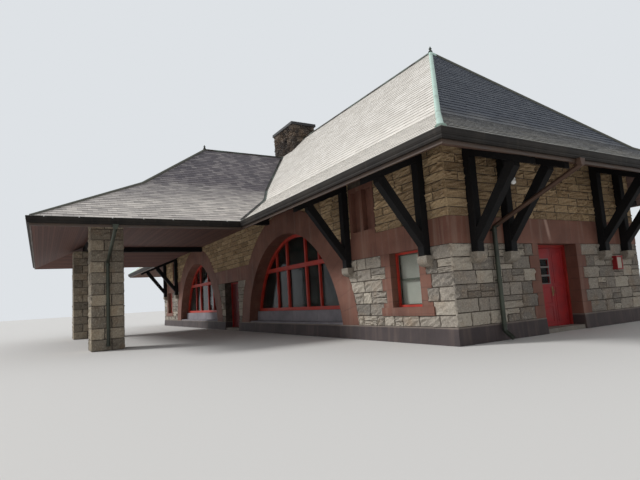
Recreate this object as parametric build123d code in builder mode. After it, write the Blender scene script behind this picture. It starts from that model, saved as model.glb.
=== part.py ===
# Railway station building: one storey of rough granite trimmed with brownstone, under a steep
# hipped roof with flared eaves, and a hipped carriage porch on two piers on the road side.
# Millimetres. +X runs along the building, the road side faces -Y, +Z is up.
# The origin is at ground level in the middle of the rectangle of the main walls.
import os

from math import sqrt

from build123d import *

os.makedirs("parts", exist_ok=True)

# Main walls
wall_length = 32100
wall_width = 8570
wall_thickness = 600
base_height = 440
base_batter = 60
floor_height = 120
belt_bottom = 2530
belt_top = 3230
belt_proud = 20
wall_top = 5300

# Round window arches, set out from the middle doorway
arch_pier_width = 390
arch_centre_drop = 120
arch_inner_radius = 4250
arch_ring_depth = 970
arch_proud = 25
apron_recess = 420
apron_top = 940
window_recess = 500
window_depth = 90
frame_width = 130
mullion_width = 110
outer_mullion_width = 75
mullion_inner = 850
mullion_outer = 1930
transom_bottom = 2690
transom_height = 180
glass_thickness = 12

# Small sash windows and the blind twin windows over them
sash_from_corner = 1820
sash_width = 1240
sash_bottom = 970
sash_recess = 220
sash_frame = 60
sash_depth = 80
quoin_long = 420
quoin_short = 250
quoin_proud = 15
sill_height = 230
sill_overhang = 60
sill_proud = 60
blind_from_corner = 3680
blind_width = 480
blind_mullion = 130
blind_bottom = 3400
blind_height = 1330
blind_depth = 160
blind_border = 130

# Doors
end_door_width = 1800
middle_door_width = 2100
door_recess = 360
door_frame_width = 80
door_frame_depth = 110
leaf_thickness = 50
leaf_gap = 10
leaf_floor_gap = 12
wide_leaf_width = 1040
light_width = 740
light_height = 700
light_bottom = 1400
hinge_radius = 11
hinge_height = 110
hinge_plate_reach = 36
hinge_clearance = 0.3
hinge_levels = (330, 1280, 2200)

# Eaves
eave_reach = 2340
fascia_thickness = 40
fascia_bottom = 4100
eave_top = 4400
soffit_wall_height = 5050
soffit_thickness = 30
gutter_width = 100
gutter_foot = 70
gutter_height = 220
gutter_depth = 90
gutter_wall = 10

# Main roof
break_reach = 230
break_height = 5800
ridge_height = 10575
roof_depth = 300

# Carriage porch
porch_half_width = 7925
porch_reach = 9130
porch_break_run = 4000
porch_break_height = 6640
porch_ridge_height = 9700
pier_size_x = 1100
pier_size_y = 1070
pier_side_inset = 2175
pier_front_inset = 1880
beam_set_back = 100
beam_width = 300
beam_height = 280

# Brackets
bracket_from_corner = 810
end_bracket_spacing = 1280
side_bracket_spacing = 3690
post_width = 220
post_depth = 130
post_bottom = 2290
arm_depth = 170
strut_size = 190
strut_foot = 2420
purlin_out = 1620
purlin_width = 160
purlin_height = 200
purlin_corner_gap = 500
rafter_tail = 260
corbel_width = 400
corbel_reach = 300
corbel_height = 300
corbel_lip = 120

# Chimney
chimney_length = 2400
chimney_width = 1400
chimney_rise = 845
chimney_cap_height = 110
chimney_cap_overhang = 60

# Rolls and finials on the roof
roll_radius = 70
finial_height = 230
finial_foot_radius = 85
finial_neck_radius = 40
finial_neck_bottom = 60
finial_neck_top = 80
finial_knob_radius = 62
finial_knob_level = 115
finial_knob_top = 150

# Downpipes and small things
pipe_radius = 52
pipe_from_wall = 20
pipe_foot = 150
pipe_elbow_drop = 60
pipe_from_fascia = 4
end_pipe_from_corner = 1500
end_pipe_bend = 2950
end_pipe_drift = 400
pier_pipe_bend = 3150
box_width = 330
box_height = 420
box_depth = 160
box_bottom = 1700
box_place = 2920

half_length = wall_length / 2
half_width = wall_width / 2
inner_length = half_length - wall_thickness
inner_width = half_width - wall_thickness
arch_outer_radius = arch_inner_radius + arch_ring_depth
arch_x = middle_door_width / 2 + arch_pier_width + arch_outer_radius
chimney_top = ridge_height + chimney_rise
soffit_slope = (soffit_wall_height - fascia_bottom) / eave_reach
deck_reach = eave_reach - fascia_thickness
beyond = wall_length


def finish(block, label):
    """Names a finished piece and writes its file."""
    block.part.label = label
    export_step(block.part, f"parts/{label}.step")


def box_between(low, high):
    """A plain block between two opposite corners, kept apart from any open piece."""
    size = [b - a for a, b in zip(low, high)]
    with BuildPart() as block:
        with Locations(tuple((a + b) / 2 for a, b in zip(low, high))):
            Box(*size)
    return block.part


def wall_side(outline_maker, depth_from, depth_to, y_face=half_width):
    """Extrudes what outline_maker draws in X and Z between two depths behind the front face."""
    with BuildPart() as side:
        with BuildSketch(Plane.XZ.offset(y_face - depth_from)):
            outline_maker()
        extrude(amount=depth_from - depth_to)
    return side.part


def four_ways(part):
    """A piece of the front right quarter and its three mirror images."""
    pair = [part, mirror(part, about=Plane.YZ)]
    return pair + [mirror(p, about=Plane.XZ) for p in pair]


def quarter_piece(label, parts):
    """Writes pieces that stand in all four quarters of the building as one node."""
    with BuildPart() as whole:
        for part in parts:
            for copy_of_part in four_ways(part):
                add(copy_of_part)
    finish(whole, label)
    return whole


# Sloping bodies of the roofs and eaves

def hipped_body(eave_x, eave_y, profile):
    """A hipped solid whose height depends on the distance in from the eaves line."""
    run_x = [(eave_x - d, z) for d, z in profile]
    run_y = [(eave_y - d, z) for d, z in profile]
    with BuildPart() as body:
        with BuildSketch(Plane.YZ.offset(-eave_x)):
            with BuildLine():
                Polyline((-eave_y, 0), *[(-y, z) for y, z in run_y],
                         *[(y, z) for y, z in reversed(run_y) if y > 0], (eave_y, 0), close=True)
            make_face()
        extrude(amount=2 * eave_x)
        with BuildSketch(Plane.XZ.offset(-eave_y)):
            with BuildLine():
                Polyline((-eave_x, 0), *[(-x, z) for x, z in run_x],
                         *[(x, z) for x, z in reversed(run_x)], (eave_x, 0), close=True)
            make_face()
        extrude(amount=2 * eave_y, mode=Mode.INTERSECT)
    return body.part


def main_profile(reach, drop):
    """Height of the main slates over the distance in from an eaves line at this reach."""
    slope = (break_height - eave_top) / (eave_reach - break_reach)
    start = eave_top + (eave_reach - reach) * slope
    ridge_run = half_width + reach
    return [(0, start - drop), (reach - break_reach, break_height - drop),
            (ridge_run, ridge_height - drop)]


def main_roof_body(reach, drop=0):
    return hipped_body(half_length + reach, half_width + reach, main_profile(reach, drop))


def porch_roof_body(inset, drop=0):
    """The porch roof, run back over the main roof far enough to meet it."""
    lower = (porch_break_height - eave_top) / porch_break_run
    start = eave_top + inset * lower
    edge_x = porch_half_width - inset
    front_y = -half_width - porch_reach + inset
    side = [(edge_x, start), (porch_half_width - porch_break_run, porch_break_height),
            (0, porch_ridge_height)]
    upper = (porch_ridge_height - porch_break_height) / (porch_half_width - porch_break_run)
    hip_run = porch_break_run + (porch_ridge_height - porch_break_height) / upper
    front = [(front_y, start), (-half_width - porch_reach + porch_break_run, porch_break_height),
             (-half_width - porch_reach + hip_run, porch_ridge_height)]
    with BuildPart() as body:
        with BuildSketch(Plane.XZ):
            with BuildLine():
                Polyline((-edge_x, 0), *[(-x, z - drop) for x, z in side],
                         *[(x, z - drop) for x, z in reversed(side[:2])], (edge_x, 0), close=True)
            make_face()
        extrude(amount=-front_y)
        with BuildSketch(Plane.YZ.offset(-edge_x)):
            with BuildLine():
                Polyline((front_y, 0), *[(y, z - drop) for y, z in front],
                         (0, porch_ridge_height - drop), (0, 0), close=True)
            make_face()
        extrude(amount=2 * edge_x, mode=Mode.INTERSECT)
    return body.part


def soffit_body(reach, lift):
    """All the space under the eaves boards, which rise inwards from the fascia to the wall."""
    rise = soffit_slope
    edge = fascia_bottom + (eave_reach - reach) * rise + lift
    flat = soffit_wall_height + lift
    main = hipped_body(half_length + reach, half_width + reach,
                       [(0, edge), (reach, flat), (half_width + reach, flat)])
    inset = eave_reach - reach
    edge_x = porch_half_width - inset
    front_y = -half_width - porch_reach + inset
    with BuildPart() as body:
        add(main)
        with BuildSketch(Plane.XZ, mode=Mode.PRIVATE) as across:
            with BuildLine():
                Polyline((-edge_x, 0), (-edge_x, edge), (-edge_x + reach, flat),
                         (edge_x - reach, flat), (edge_x, edge), (edge_x, 0), close=True)
            make_face()
        with BuildSketch(Plane.YZ.offset(-edge_x), mode=Mode.PRIVATE) as along:
            with BuildLine():
                Polyline((front_y, 0), (front_y, edge), (front_y + reach, flat),
                         (0, flat), (0, 0), close=True)
            make_face()
        porch = extrude(across.sketch, amount=-front_y, mode=Mode.PRIVATE)
        crossing = extrude(along.sketch, amount=2 * edge_x, mode=Mode.PRIVATE)
        add(porch & crossing)
    return body.part


main_slates = main_roof_body(deck_reach)
porch_slates = porch_roof_body(fascia_thickness)
under_soffit = soffit_body(deck_reach, 0)
over_soffit = soffit_body(deck_reach, soffit_thickness)
wall_block = box_between((-half_length, -half_width, -1), (half_length, half_width, wall_top))
room_block = box_between((-inner_length, -inner_width, -1), (inner_length, inner_width, beyond))

# Floor of the rooms, inside the base course and out through the doorways as their thresholds

with BuildPart() as floor_slab:
    with BuildSketch():
        Rectangle(2 * inner_length, 2 * inner_width)
        Rectangle(wall_length, end_door_width)
        Rectangle(middle_door_width, wall_width)
    extrude(amount=floor_height)
finish(floor_slab, "floor_slab")

# Base course: brownstone plinth stones with a battered face, stopped at the doorways

with BuildPart() as base_course:
    with BuildSketch():
        Rectangle(wall_length + 2 * base_batter, wall_width + 2 * base_batter)
    with BuildSketch(Plane.XY.offset(base_height)):
        Rectangle(wall_length + base_batter, wall_width + base_batter)
    loft()
    with BuildSketch():
        Rectangle(2 * inner_length, 2 * inner_width)
        Rectangle(2 * beyond, end_door_width)
        Rectangle(middle_door_width, 2 * beyond)
    extrude(amount=base_height, mode=Mode.SUBTRACT)
finish(base_course, "base_course")


# Outlines on the long walls, drawn for the right half as X and Z

def half_disc(radius, bottom, mode=Mode.ADD):
    """The part of the arch's circle above a level, as a closed outline."""
    rise = bottom + arch_centre_drop
    half = sqrt(radius ** 2 - rise ** 2)
    with BuildLine() as outline:
        ThreePointArc((arch_x + half, bottom), (arch_x, radius - arch_centre_drop),
                      (arch_x - half, bottom))
        Line((arch_x - half, bottom), (arch_x + half, bottom))
    make_face(outline.edges(), mode=mode)


def span(x_from, x_to, z_from, z_to, mode=Mode.ADD):
    """A rectangle between two values along each axis of the sketch."""
    with Locations(((x_from + x_to) / 2, (z_from + z_to) / 2)):
        Rectangle(x_to - x_from, z_to - z_from, mode=mode)


sash_x = half_length - sash_from_corner
blind_x = half_length - blind_from_corner
quoin_rows = 5


def quoined_outline(x_centre, opening, bottom, top, rows, mode=Mode.ADD):
    """Alternating long and short blocks on both sides of an opening, as one stepped outline."""
    row = (top - bottom) / rows
    for i in range(rows):
        reach = opening / 2 + (quoin_long if i % 2 == 0 else quoin_short)
        span(x_centre - reach, x_centre + reach, bottom + i * row, bottom + (i + 1) * row, mode)


def blind_outline(mode=Mode.ADD):
    reach = blind_width + blind_mullion / 2 + blind_border
    span(blind_x - reach, blind_x + reach, belt_top, blind_bottom + blind_height + blind_border, mode)


def lower_granite():
    span(middle_door_width / 2, half_length, base_height, belt_bottom)
    with Locations((arch_x, -arch_centre_drop)):
        Circle(arch_outer_radius, mode=Mode.SUBTRACT)
    quoined_outline(sash_x, sash_width, sash_bottom - sill_height, belt_bottom, quoin_rows,
                    Mode.SUBTRACT)


def upper_corner_granite():
    span(arch_x, half_length, belt_top, wall_top)
    with Locations((arch_x, -arch_centre_drop)):
        Circle(arch_outer_radius, mode=Mode.SUBTRACT)
    blind_outline(Mode.SUBTRACT)


def upper_middle_granite():
    span(-arch_x, arch_x, belt_top, wall_top)
    with Locations((arch_x, -arch_centre_drop), (-arch_x, -arch_centre_drop)):
        Circle(arch_outer_radius, mode=Mode.SUBTRACT)


def apron_granite():
    half_disc(arch_inner_radius, base_height)
    span(-beyond, beyond, apron_top, beyond, Mode.SUBTRACT)


def long_wall(sign):
    """All the granite of the front wall, or of the back wall as its mirror image."""
    right = [wall_side(lower_granite, 0, wall_thickness),
             wall_side(upper_corner_granite, 0, wall_thickness),
             wall_side(apron_granite, apron_recess, wall_thickness)]
    pieces = right + [mirror(p, about=Plane.YZ) for p in right]
    pieces.append(wall_side(upper_middle_granite, 0, wall_thickness))
    with BuildPart() as wall:
        for piece in pieces:
            add(piece if sign < 0 else mirror(piece, about=Plane.XZ))
    return wall


finish(long_wall(-1), "front_wall")
finish(long_wall(1), "back_wall")


# End walls, between the long walls, split beside and over the doorway

end_quoin_rows = 6


def end_side(outline_maker, depth_from, depth_to):
    """Extrudes what outline_maker draws in Y and Z between two depths behind the right end face."""
    with BuildPart() as side:
        with BuildSketch(Plane.YZ.offset(half_length - depth_from)):
            outline_maker()
        extrude(amount=depth_from - depth_to)
    return side.part


def lower_end_granite():
    span(-inner_width, inner_width, base_height, belt_bottom)
    quoined_outline(0, end_door_width, base_height, belt_bottom, end_quoin_rows, Mode.SUBTRACT)


def upper_end_granite():
    span(-inner_width, inner_width, belt_top, wall_top)


def end_wall(sign):
    pieces = [end_side(lower_end_granite, 0, wall_thickness),
              end_side(upper_end_granite, 0, wall_thickness)]
    with BuildPart() as wall:
        for piece in pieces:
            add(piece if sign > 0 else mirror(piece, about=Plane.YZ))
    return wall


finish(end_wall(1), "right_end_wall")
finish(end_wall(-1), "left_end_wall")


# Belt course: brownstone all round, broken by the arches, and the lintel of every door

with BuildPart() as belt_course:
    with BuildSketch(Plane.XY.offset(belt_bottom)):
        Rectangle(wall_length + 2 * belt_proud, wall_width + 2 * belt_proud)
        Rectangle(2 * inner_length, 2 * inner_width, mode=Mode.SUBTRACT)
    extrude(amount=belt_top - belt_bottom)
    for side in (-1, 1):
        with BuildSketch(Plane.XZ):
            with Locations((side * arch_x, -arch_centre_drop)):
                Circle(arch_outer_radius)
        extrude(amount=wall_width, both=True, mode=Mode.SUBTRACT)
finish(belt_course, "belt_course")


# Arches: brownstone rings that stand on the base course

def ring_outline():
    half_disc(arch_outer_radius, base_height)
    with Locations((arch_x, -arch_centre_drop)):
        Circle(arch_inner_radius, mode=Mode.SUBTRACT)


window_arches = quarter_piece("window_arches", [wall_side(ring_outline, -arch_proud, wall_thickness)])


# Windows in the arches: wooden frame with four mullions and a heavy transom

def arch_frame_outline():
    half_disc(arch_inner_radius, apron_top)
    half_disc(arch_inner_radius - frame_width, apron_top + frame_width, Mode.SUBTRACT)
    inside = arch_inner_radius - frame_width / 2
    for x, width in ((mullion_inner, mullion_width), (mullion_outer, outer_mullion_width)):
        top = sqrt(inside ** 2 - x ** 2) - arch_centre_drop
        for middle in (arch_x - x, arch_x + x):
            span(middle - width / 2, middle + width / 2, apron_top, top)
    half = sqrt(inside ** 2 - (transom_bottom + arch_centre_drop + transom_height) ** 2)
    span(arch_x - half, arch_x + half, transom_bottom, transom_bottom + transom_height)


def arch_pane_outline():
    half_disc(arch_inner_radius - frame_width / 2, apron_top + frame_width / 2)


arch_frame = wall_side(arch_frame_outline, window_recess, window_recess + window_depth)
arch_pane = wall_side(arch_pane_outline, window_recess + window_depth,
                      window_recess + window_depth + glass_thickness)
quarter_piece("arch_window_frames", [arch_frame])


# Small sash windows with their toothed surround and sill

def sash_surround_outline():
    quoined_outline(sash_x, sash_width, sash_bottom - sill_height, belt_bottom, quoin_rows)
    span(sash_x - sash_width / 2, sash_x + sash_width / 2, sash_bottom, belt_bottom, Mode.SUBTRACT)


def sash_frame_outline():
    left, right = sash_x - sash_width / 2, sash_x + sash_width / 2
    span(left, right, sash_bottom, belt_bottom)
    span(left + sash_frame, right - sash_frame, sash_bottom + sash_frame, belt_bottom - sash_frame,
         Mode.SUBTRACT)


def sash_pane_outline():
    inset = sash_frame / 2
    span(sash_x - sash_width / 2 + inset, sash_x + sash_width / 2 - inset,
         sash_bottom + inset, belt_bottom - inset)


def sill_outline():
    reach = sash_width / 2 + quoin_long + sill_overhang
    span(sash_x - reach, sash_x + reach, sash_bottom - sill_height, sash_bottom)


with BuildPart() as sash_surround:
    add(wall_side(sash_surround_outline, -quoin_proud, wall_thickness))
    add(wall_side(sill_outline, -sill_proud, -quoin_proud))
sash_surrounds = quarter_piece("sash_window_surrounds", [sash_surround.part])
sash_frame_part = wall_side(sash_frame_outline, sash_recess, sash_recess + sash_depth)
sash_pane = wall_side(sash_pane_outline, sash_recess + sash_depth,
                      sash_recess + sash_depth + glass_thickness)
quarter_piece("sash_window_frames", [sash_frame_part])


# Blind twin windows: two tall recesses in a brownstone panel on the belt course

def blind_panel():
    with BuildPart() as panel:
        add(wall_side(blind_outline, -quoin_proud, wall_thickness))
        recess = wall_side(blind_recess_outline, -quoin_proud, blind_depth)
        add(recess, mode=Mode.SUBTRACT)
    return panel.part


def blind_recess_outline():
    for side in (-1, 1):
        middle = blind_x + side * (blind_width + blind_mullion) / 2
        span(middle - blind_width / 2, middle + blind_width / 2, blind_bottom,
             blind_bottom + blind_height)


quarter_piece("blind_window_panels", [blind_panel()])


# End doors: toothed brownstone jambs, a fixed frame, a wide leaf and a narrow one

def end_jamb_outline():
    quoined_outline(0, end_door_width, base_height, belt_bottom, end_quoin_rows)
    span(-end_door_width / 2, end_door_width / 2, base_height, belt_bottom, Mode.SUBTRACT)


end_jambs = end_side(end_jamb_outline, -quoin_proud, wall_thickness)
with BuildPart() as end_door_jambs:
    add(end_jambs)
    add(mirror(end_jambs, about=Plane.YZ))
finish(end_door_jambs, "end_door_jambs")

clear_half = end_door_width / 2 - door_frame_width
leaf_head = belt_bottom - door_frame_width - leaf_gap
leaf_foot = floor_height + leaf_floor_gap
meeting_y = -clear_half + wide_leaf_width


def end_frame_outline():
    span(-end_door_width / 2, end_door_width / 2, floor_height, belt_bottom)
    span(-clear_half, clear_half, floor_height, belt_bottom - door_frame_width, Mode.SUBTRACT)


def wide_leaf_outline():
    span(-clear_half + leaf_gap, meeting_y - leaf_gap / 2, leaf_foot, leaf_head)
    middle = (-clear_half + meeting_y) / 2
    span(middle - light_width / 2, middle + light_width / 2, light_bottom,
         light_bottom + light_height, Mode.SUBTRACT)


def wide_leaf_light():
    middle = (-clear_half + meeting_y) / 2
    span(middle - light_width / 2, middle + light_width / 2, light_bottom,
         light_bottom + light_height)


def narrow_leaf_outline():
    span(meeting_y + leaf_gap / 2, clear_half, floor_height, belt_bottom - door_frame_width)


leaf_from = door_recess + door_frame_depth - leaf_thickness
leaf_to = door_recess + door_frame_depth
light_from = leaf_from + (leaf_thickness - glass_thickness) / 2

end_frame = end_side(end_frame_outline, door_recess, door_recess + door_frame_depth)
narrow_leaf = end_side(narrow_leaf_outline, leaf_from, leaf_to)
with BuildPart() as end_door_side_panels:
    add(narrow_leaf)
    add(mirror(narrow_leaf, about=Plane.YZ))
finish(end_door_side_panels, "end_door_side_panels")


def hinges():
    """Three hinges with their pins on the Z axis, for a leaf that reaches out along +Y."""
    with BuildPart() as row:
        for level in hinge_levels:
            with Locations((0, 0, level)):
                Cylinder(hinge_radius, hinge_height)
                Box(hinge_radius + hinge_clearance + hinge_plate_reach, leaf_gap - hinge_clearance,
                    hinge_height, align=(Align.MIN, Align.CENTER, Align.CENTER))
    return Pos(0, hinge_clearance / 2, 0) * row.part


hinge_depth = leaf_to + hinge_radius + hinge_clearance
with BuildPart() as wide_leaf:
    add(end_side(wide_leaf_outline, leaf_from, leaf_to))
    add(Pos(half_length - hinge_depth, -clear_half + leaf_gap / 2, 0) * hinges())
wide_light = end_side(wide_leaf_light, light_from, light_from + glass_thickness)
with BuildPart() as right_end_door:
    add(wide_leaf.part)
finish(right_end_door, "right_end_door")
with BuildPart() as right_end_door_glass:
    add(wide_light)
finish(right_end_door_glass, "right_end_door_glass")
with BuildPart() as left_end_door:
    add(mirror(wide_leaf.part, about=Plane.YZ))
finish(left_end_door, "left_end_door")
with BuildPart() as window_glass:
    for pane in (arch_pane, sash_pane):
        for copy_of_pane in four_ways(pane):
            add(copy_of_pane)
    add(mirror(wide_light, about=Plane.YZ))
finish(window_glass, "window_glass")


# Middle doors under the porch and on the platform side: a pair of equal leaves

middle_clear = middle_door_width / 2 - door_frame_width


def middle_frame_outline():
    span(-middle_door_width / 2, middle_door_width / 2, floor_height, belt_bottom)
    span(-middle_clear, middle_clear, floor_height, belt_bottom - door_frame_width, Mode.SUBTRACT)


def middle_leaf_outline():
    span(leaf_gap - middle_clear, -leaf_gap / 2, leaf_foot, leaf_head)


middle_frame = wall_side(middle_frame_outline, door_recess, door_recess + door_frame_depth)
with BuildPart() as door_frames:
    add(end_frame)
    add(mirror(end_frame, about=Plane.YZ))
    add(middle_frame)
    add(mirror(middle_frame, about=Plane.XZ))
finish(door_frames, "door_frames")

with BuildPart() as front_door_left:
    add(wall_side(middle_leaf_outline, leaf_from, leaf_to))
    add(Pos(leaf_gap / 2 - middle_clear, hinge_depth - half_width, 0) * Rot(0, 0, -90) * hinges())
finish(front_door_left, "front_door_left")
with BuildPart() as front_door_right:
    add(mirror(front_door_left.part, about=Plane.YZ))
finish(front_door_right, "front_door_right")
with BuildPart() as back_doors:
    for leaf in (front_door_left.part, front_door_right.part):
        add(mirror(leaf, about=Plane.XZ))
finish(back_doors, "back_doors")


# Carriage porch: two granite piers and the beams on them

pier_x = porch_half_width - pier_side_inset - pier_size_x / 2
pier_y = -half_width - porch_reach + pier_front_inset + pier_size_y / 2
front_beam_y = pier_y + beam_set_back
beam_top = soffit_wall_height
beam_bottom = beam_top - beam_height

with BuildPart() as porch_piers:
    with Locations((pier_x, pier_y, 0), (-pier_x, pier_y, 0)):
        Box(pier_size_x, pier_size_y, beam_bottom, align=(Align.CENTER, Align.CENTER, Align.MIN))
finish(porch_piers, "porch_piers")

with BuildPart() as porch_beams:
    with BuildSketch(Plane.XY.offset(beam_bottom)):
        span(-pier_x - beam_width / 2, pier_x + beam_width / 2, front_beam_y - beam_width / 2, -half_width)
        span(-pier_x + beam_width / 2, pier_x - beam_width / 2, front_beam_y + beam_width / 2, -half_width,
             Mode.SUBTRACT)
    extrude(amount=beam_height)
    add(window_arches.part, mode=Mode.SUBTRACT)
finish(porch_beams, "porch_beams")

# Brackets: a post on a stone corbel, an arm under the eaves boards and a strut between them. They
# carry a purlin, and the arm goes on beyond it as a short tail.

def soffit_at(out):
    """Underside of the eaves boards at a distance out from the wall."""
    return soffit_wall_height - out * soffit_slope


post_face = belt_proud + post_depth
purlin_inner = purlin_out - purlin_width / 2
purlin_outer = purlin_out + purlin_width / 2
purlin_top = soffit_at(purlin_outer)
purlin_low = purlin_top - purlin_height
end_places = [half_width - bracket_from_corner, half_width - bracket_from_corner - end_bracket_spacing]
side_places = [half_length - bracket_from_corner,
               half_length - bracket_from_corner - side_bracket_spacing]


def timber(points, width):
    """A flat-sided piece drawn as distance out from the wall and height, centred on its bracket."""
    with BuildPart() as piece:
        with BuildSketch(Plane.XZ):
            with BuildLine():
                Polyline(*points, close=True)
            make_face()
        extrude(amount=width / 2, both=True)
    return piece.part


def under_boards(out_from, out_to):
    """Outline of an arm that touches the eaves boards between two distances out."""
    return [(out_from, soffit_at(out_from)), (out_to, soffit_at(out_to)),
            (out_to, soffit_at(out_to) - arm_depth), (out_from, soffit_at(out_from) - arm_depth)]


def stand_round(piece):
    """Copies of a piece made at X zero and facing +X, on all four walls."""
    copies = []
    for y in end_places:
        for sign in (-1, 1):
            copies.append(Pos(half_length, sign * y, 0) * piece)
            copies.append(Pos(-half_length, sign * y, 0) * Rot(0, 0, 180) * piece)
    for x in side_places:
        for sign in (-1, 1):
            copies.append(Pos(sign * x, -half_width, 0) * Rot(0, 0, -90) * piece)
            copies.append(Pos(sign * x, half_width, 0) * Rot(0, 0, 90) * piece)
    return copies


post = timber([(belt_proud, post_bottom), (post_face, post_bottom), (post_face, soffit_at(post_face)),
               (belt_proud, soffit_at(belt_proud))], post_width)
with BuildPart() as bracket_posts:
    for piece in stand_round(post):
        add(piece)
finish(bracket_posts, "bracket_posts")

arm = timber(under_boards(post_face, purlin_inner), post_width)
tail = timber(under_boards(purlin_outer, purlin_outer + rafter_tail), post_width)
with BuildPart() as bracket_arms:
    for piece in stand_round(arm) + stand_round(tail):
        add(piece)
finish(bracket_arms, "bracket_arms")

strut_rise = soffit_at(purlin_inner) - arm_depth - strut_foot
strut_run = purlin_inner - strut_size - post_face
strut_cut = strut_size * sqrt(strut_rise ** 2 + strut_run ** 2) / strut_run
strut = timber([(post_face, strut_foot), (purlin_inner, purlin_low), (purlin_inner, strut_foot + strut_rise),
                (purlin_inner - strut_size, strut_foot + strut_rise + strut_size * soffit_slope),
                (post_face, strut_foot + strut_cut)], post_width)
with BuildPart() as bracket_struts:
    for piece in stand_round(strut):
        add(piece)
finish(bracket_struts, "bracket_struts")

with BuildPart() as bracket_corbel:
    with BuildSketch(Plane.XZ):
        with BuildLine():
            Polyline((0, post_bottom - corbel_height), (0, post_bottom), (corbel_reach, post_bottom),
                     (corbel_reach, post_bottom - corbel_lip))
            RadiusArc((corbel_reach, post_bottom - corbel_lip), (0, post_bottom - corbel_height),
                      corbel_reach)
        make_face()
    extrude(amount=corbel_width / 2, both=True)
with BuildPart() as bracket_corbels:
    for piece in stand_round(bracket_corbel.part):
        add(piece)
    add(window_arches.part, mode=Mode.SUBTRACT)
    add(sash_surrounds.part, mode=Mode.SUBTRACT)
finish(bracket_corbels, "bracket_corbels")

side_reach = half_length + purlin_out - purlin_corner_gap
end_reach = half_width + purlin_out - purlin_corner_gap
porch_stop = porch_half_width + purlin_corner_gap
with BuildPart() as eave_purlins:
    with BuildSketch(Plane.XY.offset(purlin_low)):
        for side in (-1, 1):
            with Locations((side * (half_length + purlin_out), 0)):
                Rectangle(purlin_width, 2 * end_reach)
            with Locations((side * (porch_stop + side_reach) / 2, -half_width - purlin_out)):
                Rectangle(side_reach - porch_stop, purlin_width)
        with Locations((0, half_width + purlin_out)):
            Rectangle(2 * side_reach, purlin_width)
    extrude(amount=purlin_height)
finish(eave_purlins, "eave_purlins")

# Eaves boards and the porch ceiling, from one body cut along the wall line

with BuildPart() as boards:
    add(over_soffit)
    add(under_soffit, mode=Mode.SUBTRACT)
    add(wall_block, mode=Mode.SUBTRACT)
    add(window_arches.part, mode=Mode.SUBTRACT)
porch_zone = box_between((-porch_half_width, -beyond, 0), (porch_half_width, -half_width, beyond))
with BuildPart() as eave_soffit:
    add(boards)
    add(porch_zone, mode=Mode.SUBTRACT)
finish(eave_soffit, "eave_soffit")
with BuildPart() as porch_ceiling:
    add(boards)
    add(porch_zone, mode=Mode.INTERSECT)
finish(porch_ceiling, "porch_ceiling")


# Fascia boards and gutters round every eaves line

def eave_outline(reach, porch_inset):
    """Plan of the whole eaves line at one distance out, main roof and porch together."""
    x, y = half_length + reach, half_width + reach
    px = porch_half_width - porch_inset
    py = half_width + porch_reach - porch_inset
    with BuildLine() as outline:
        Polyline((-x, y), (x, y), (x, -y), (px, -y), (px, -py), (-px, -py), (-px, -y), (-x, -y),
                 close=True)
    make_face(outline.edges())


with BuildPart() as fascia_boards:
    with BuildSketch(Plane.XY.offset(fascia_bottom)):
        eave_outline(eave_reach, 0)
    extrude(amount=eave_top - fascia_bottom)
    with BuildSketch(Plane.XY.offset(fascia_bottom)):
        eave_outline(deck_reach, fascia_thickness)
    extrude(amount=eave_top - fascia_bottom, mode=Mode.SUBTRACT)
finish(fascia_boards, "fascia_boards")

gutter_bottom = eave_top - gutter_height


def within_gutter(bottom, inset):
    """All that lies inside the sloping face of the gutters, less an inset, above a level."""
    slope = (gutter_width - gutter_foot) / gutter_height
    low = gutter_foot + (bottom - gutter_bottom) * slope - inset
    with BuildPart() as body:
        for level, width in ((bottom, low), (eave_top, gutter_width - inset)):
            with BuildSketch(Plane.XY.offset(level)):
                eave_outline(eave_reach + width, -width)
        loft()
    return body.part


with BuildPart() as gutters:
    add(within_gutter(gutter_bottom, 0))
    add(within_gutter(eave_top - gutter_depth, gutter_wall), mode=Mode.SUBTRACT)
    with BuildSketch(Plane.XY.offset(gutter_bottom)):
        eave_outline(eave_reach, 0)
    extrude(amount=gutter_height, mode=Mode.SUBTRACT)
finish(gutters, "gutters")

# Main roof in four slopes mitred along the hips, and the porch roof laid against it

with BuildPart() as roof_shell:
    add(main_slates)
    add(main_roof_body(deck_reach, roof_depth) & room_block, mode=Mode.SUBTRACT)
    add(wall_block, mode=Mode.SUBTRACT)
    add(over_soffit, mode=Mode.SUBTRACT)
    add(window_arches.part, mode=Mode.SUBTRACT)

corner_x = half_length + deck_reach
corner_y = half_width + deck_reach
ridge_x = corner_x - corner_y
for label, plan in {
    "main_roof_front": [(-corner_x, -corner_y), (corner_x, -corner_y), (ridge_x, 0), (-ridge_x, 0)],
    "main_roof_back": [(corner_x, corner_y), (-corner_x, corner_y), (-ridge_x, 0), (ridge_x, 0)],
    "main_roof_right": [(corner_x, -corner_y), (corner_x, corner_y), (ridge_x, 0)],
    "main_roof_left": [(-corner_x, corner_y), (-corner_x, -corner_y), (-ridge_x, 0)],
}.items():
    with BuildPart() as slope:
        with BuildSketch():
            with BuildLine():
                Polyline(*plan, close=True)
            make_face()
        extrude(amount=beyond)
        add(roof_shell.part, mode=Mode.INTERSECT)
    finish(slope, label)

attic = box_between((-beyond, -beyond, soffit_wall_height + soffit_thickness), (beyond, 0, beyond))
with BuildPart() as porch_roof:
    add(porch_slates)
    add(main_slates, mode=Mode.SUBTRACT)
    add(over_soffit, mode=Mode.SUBTRACT)
    add(wall_block, mode=Mode.SUBTRACT)
    add(porch_roof_body(fascia_thickness, roof_depth) & attic, mode=Mode.SUBTRACT)
finish(porch_roof, "porch_roof")

# Rolls over the ridges and hips, and the finials at the ridge ends

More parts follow.
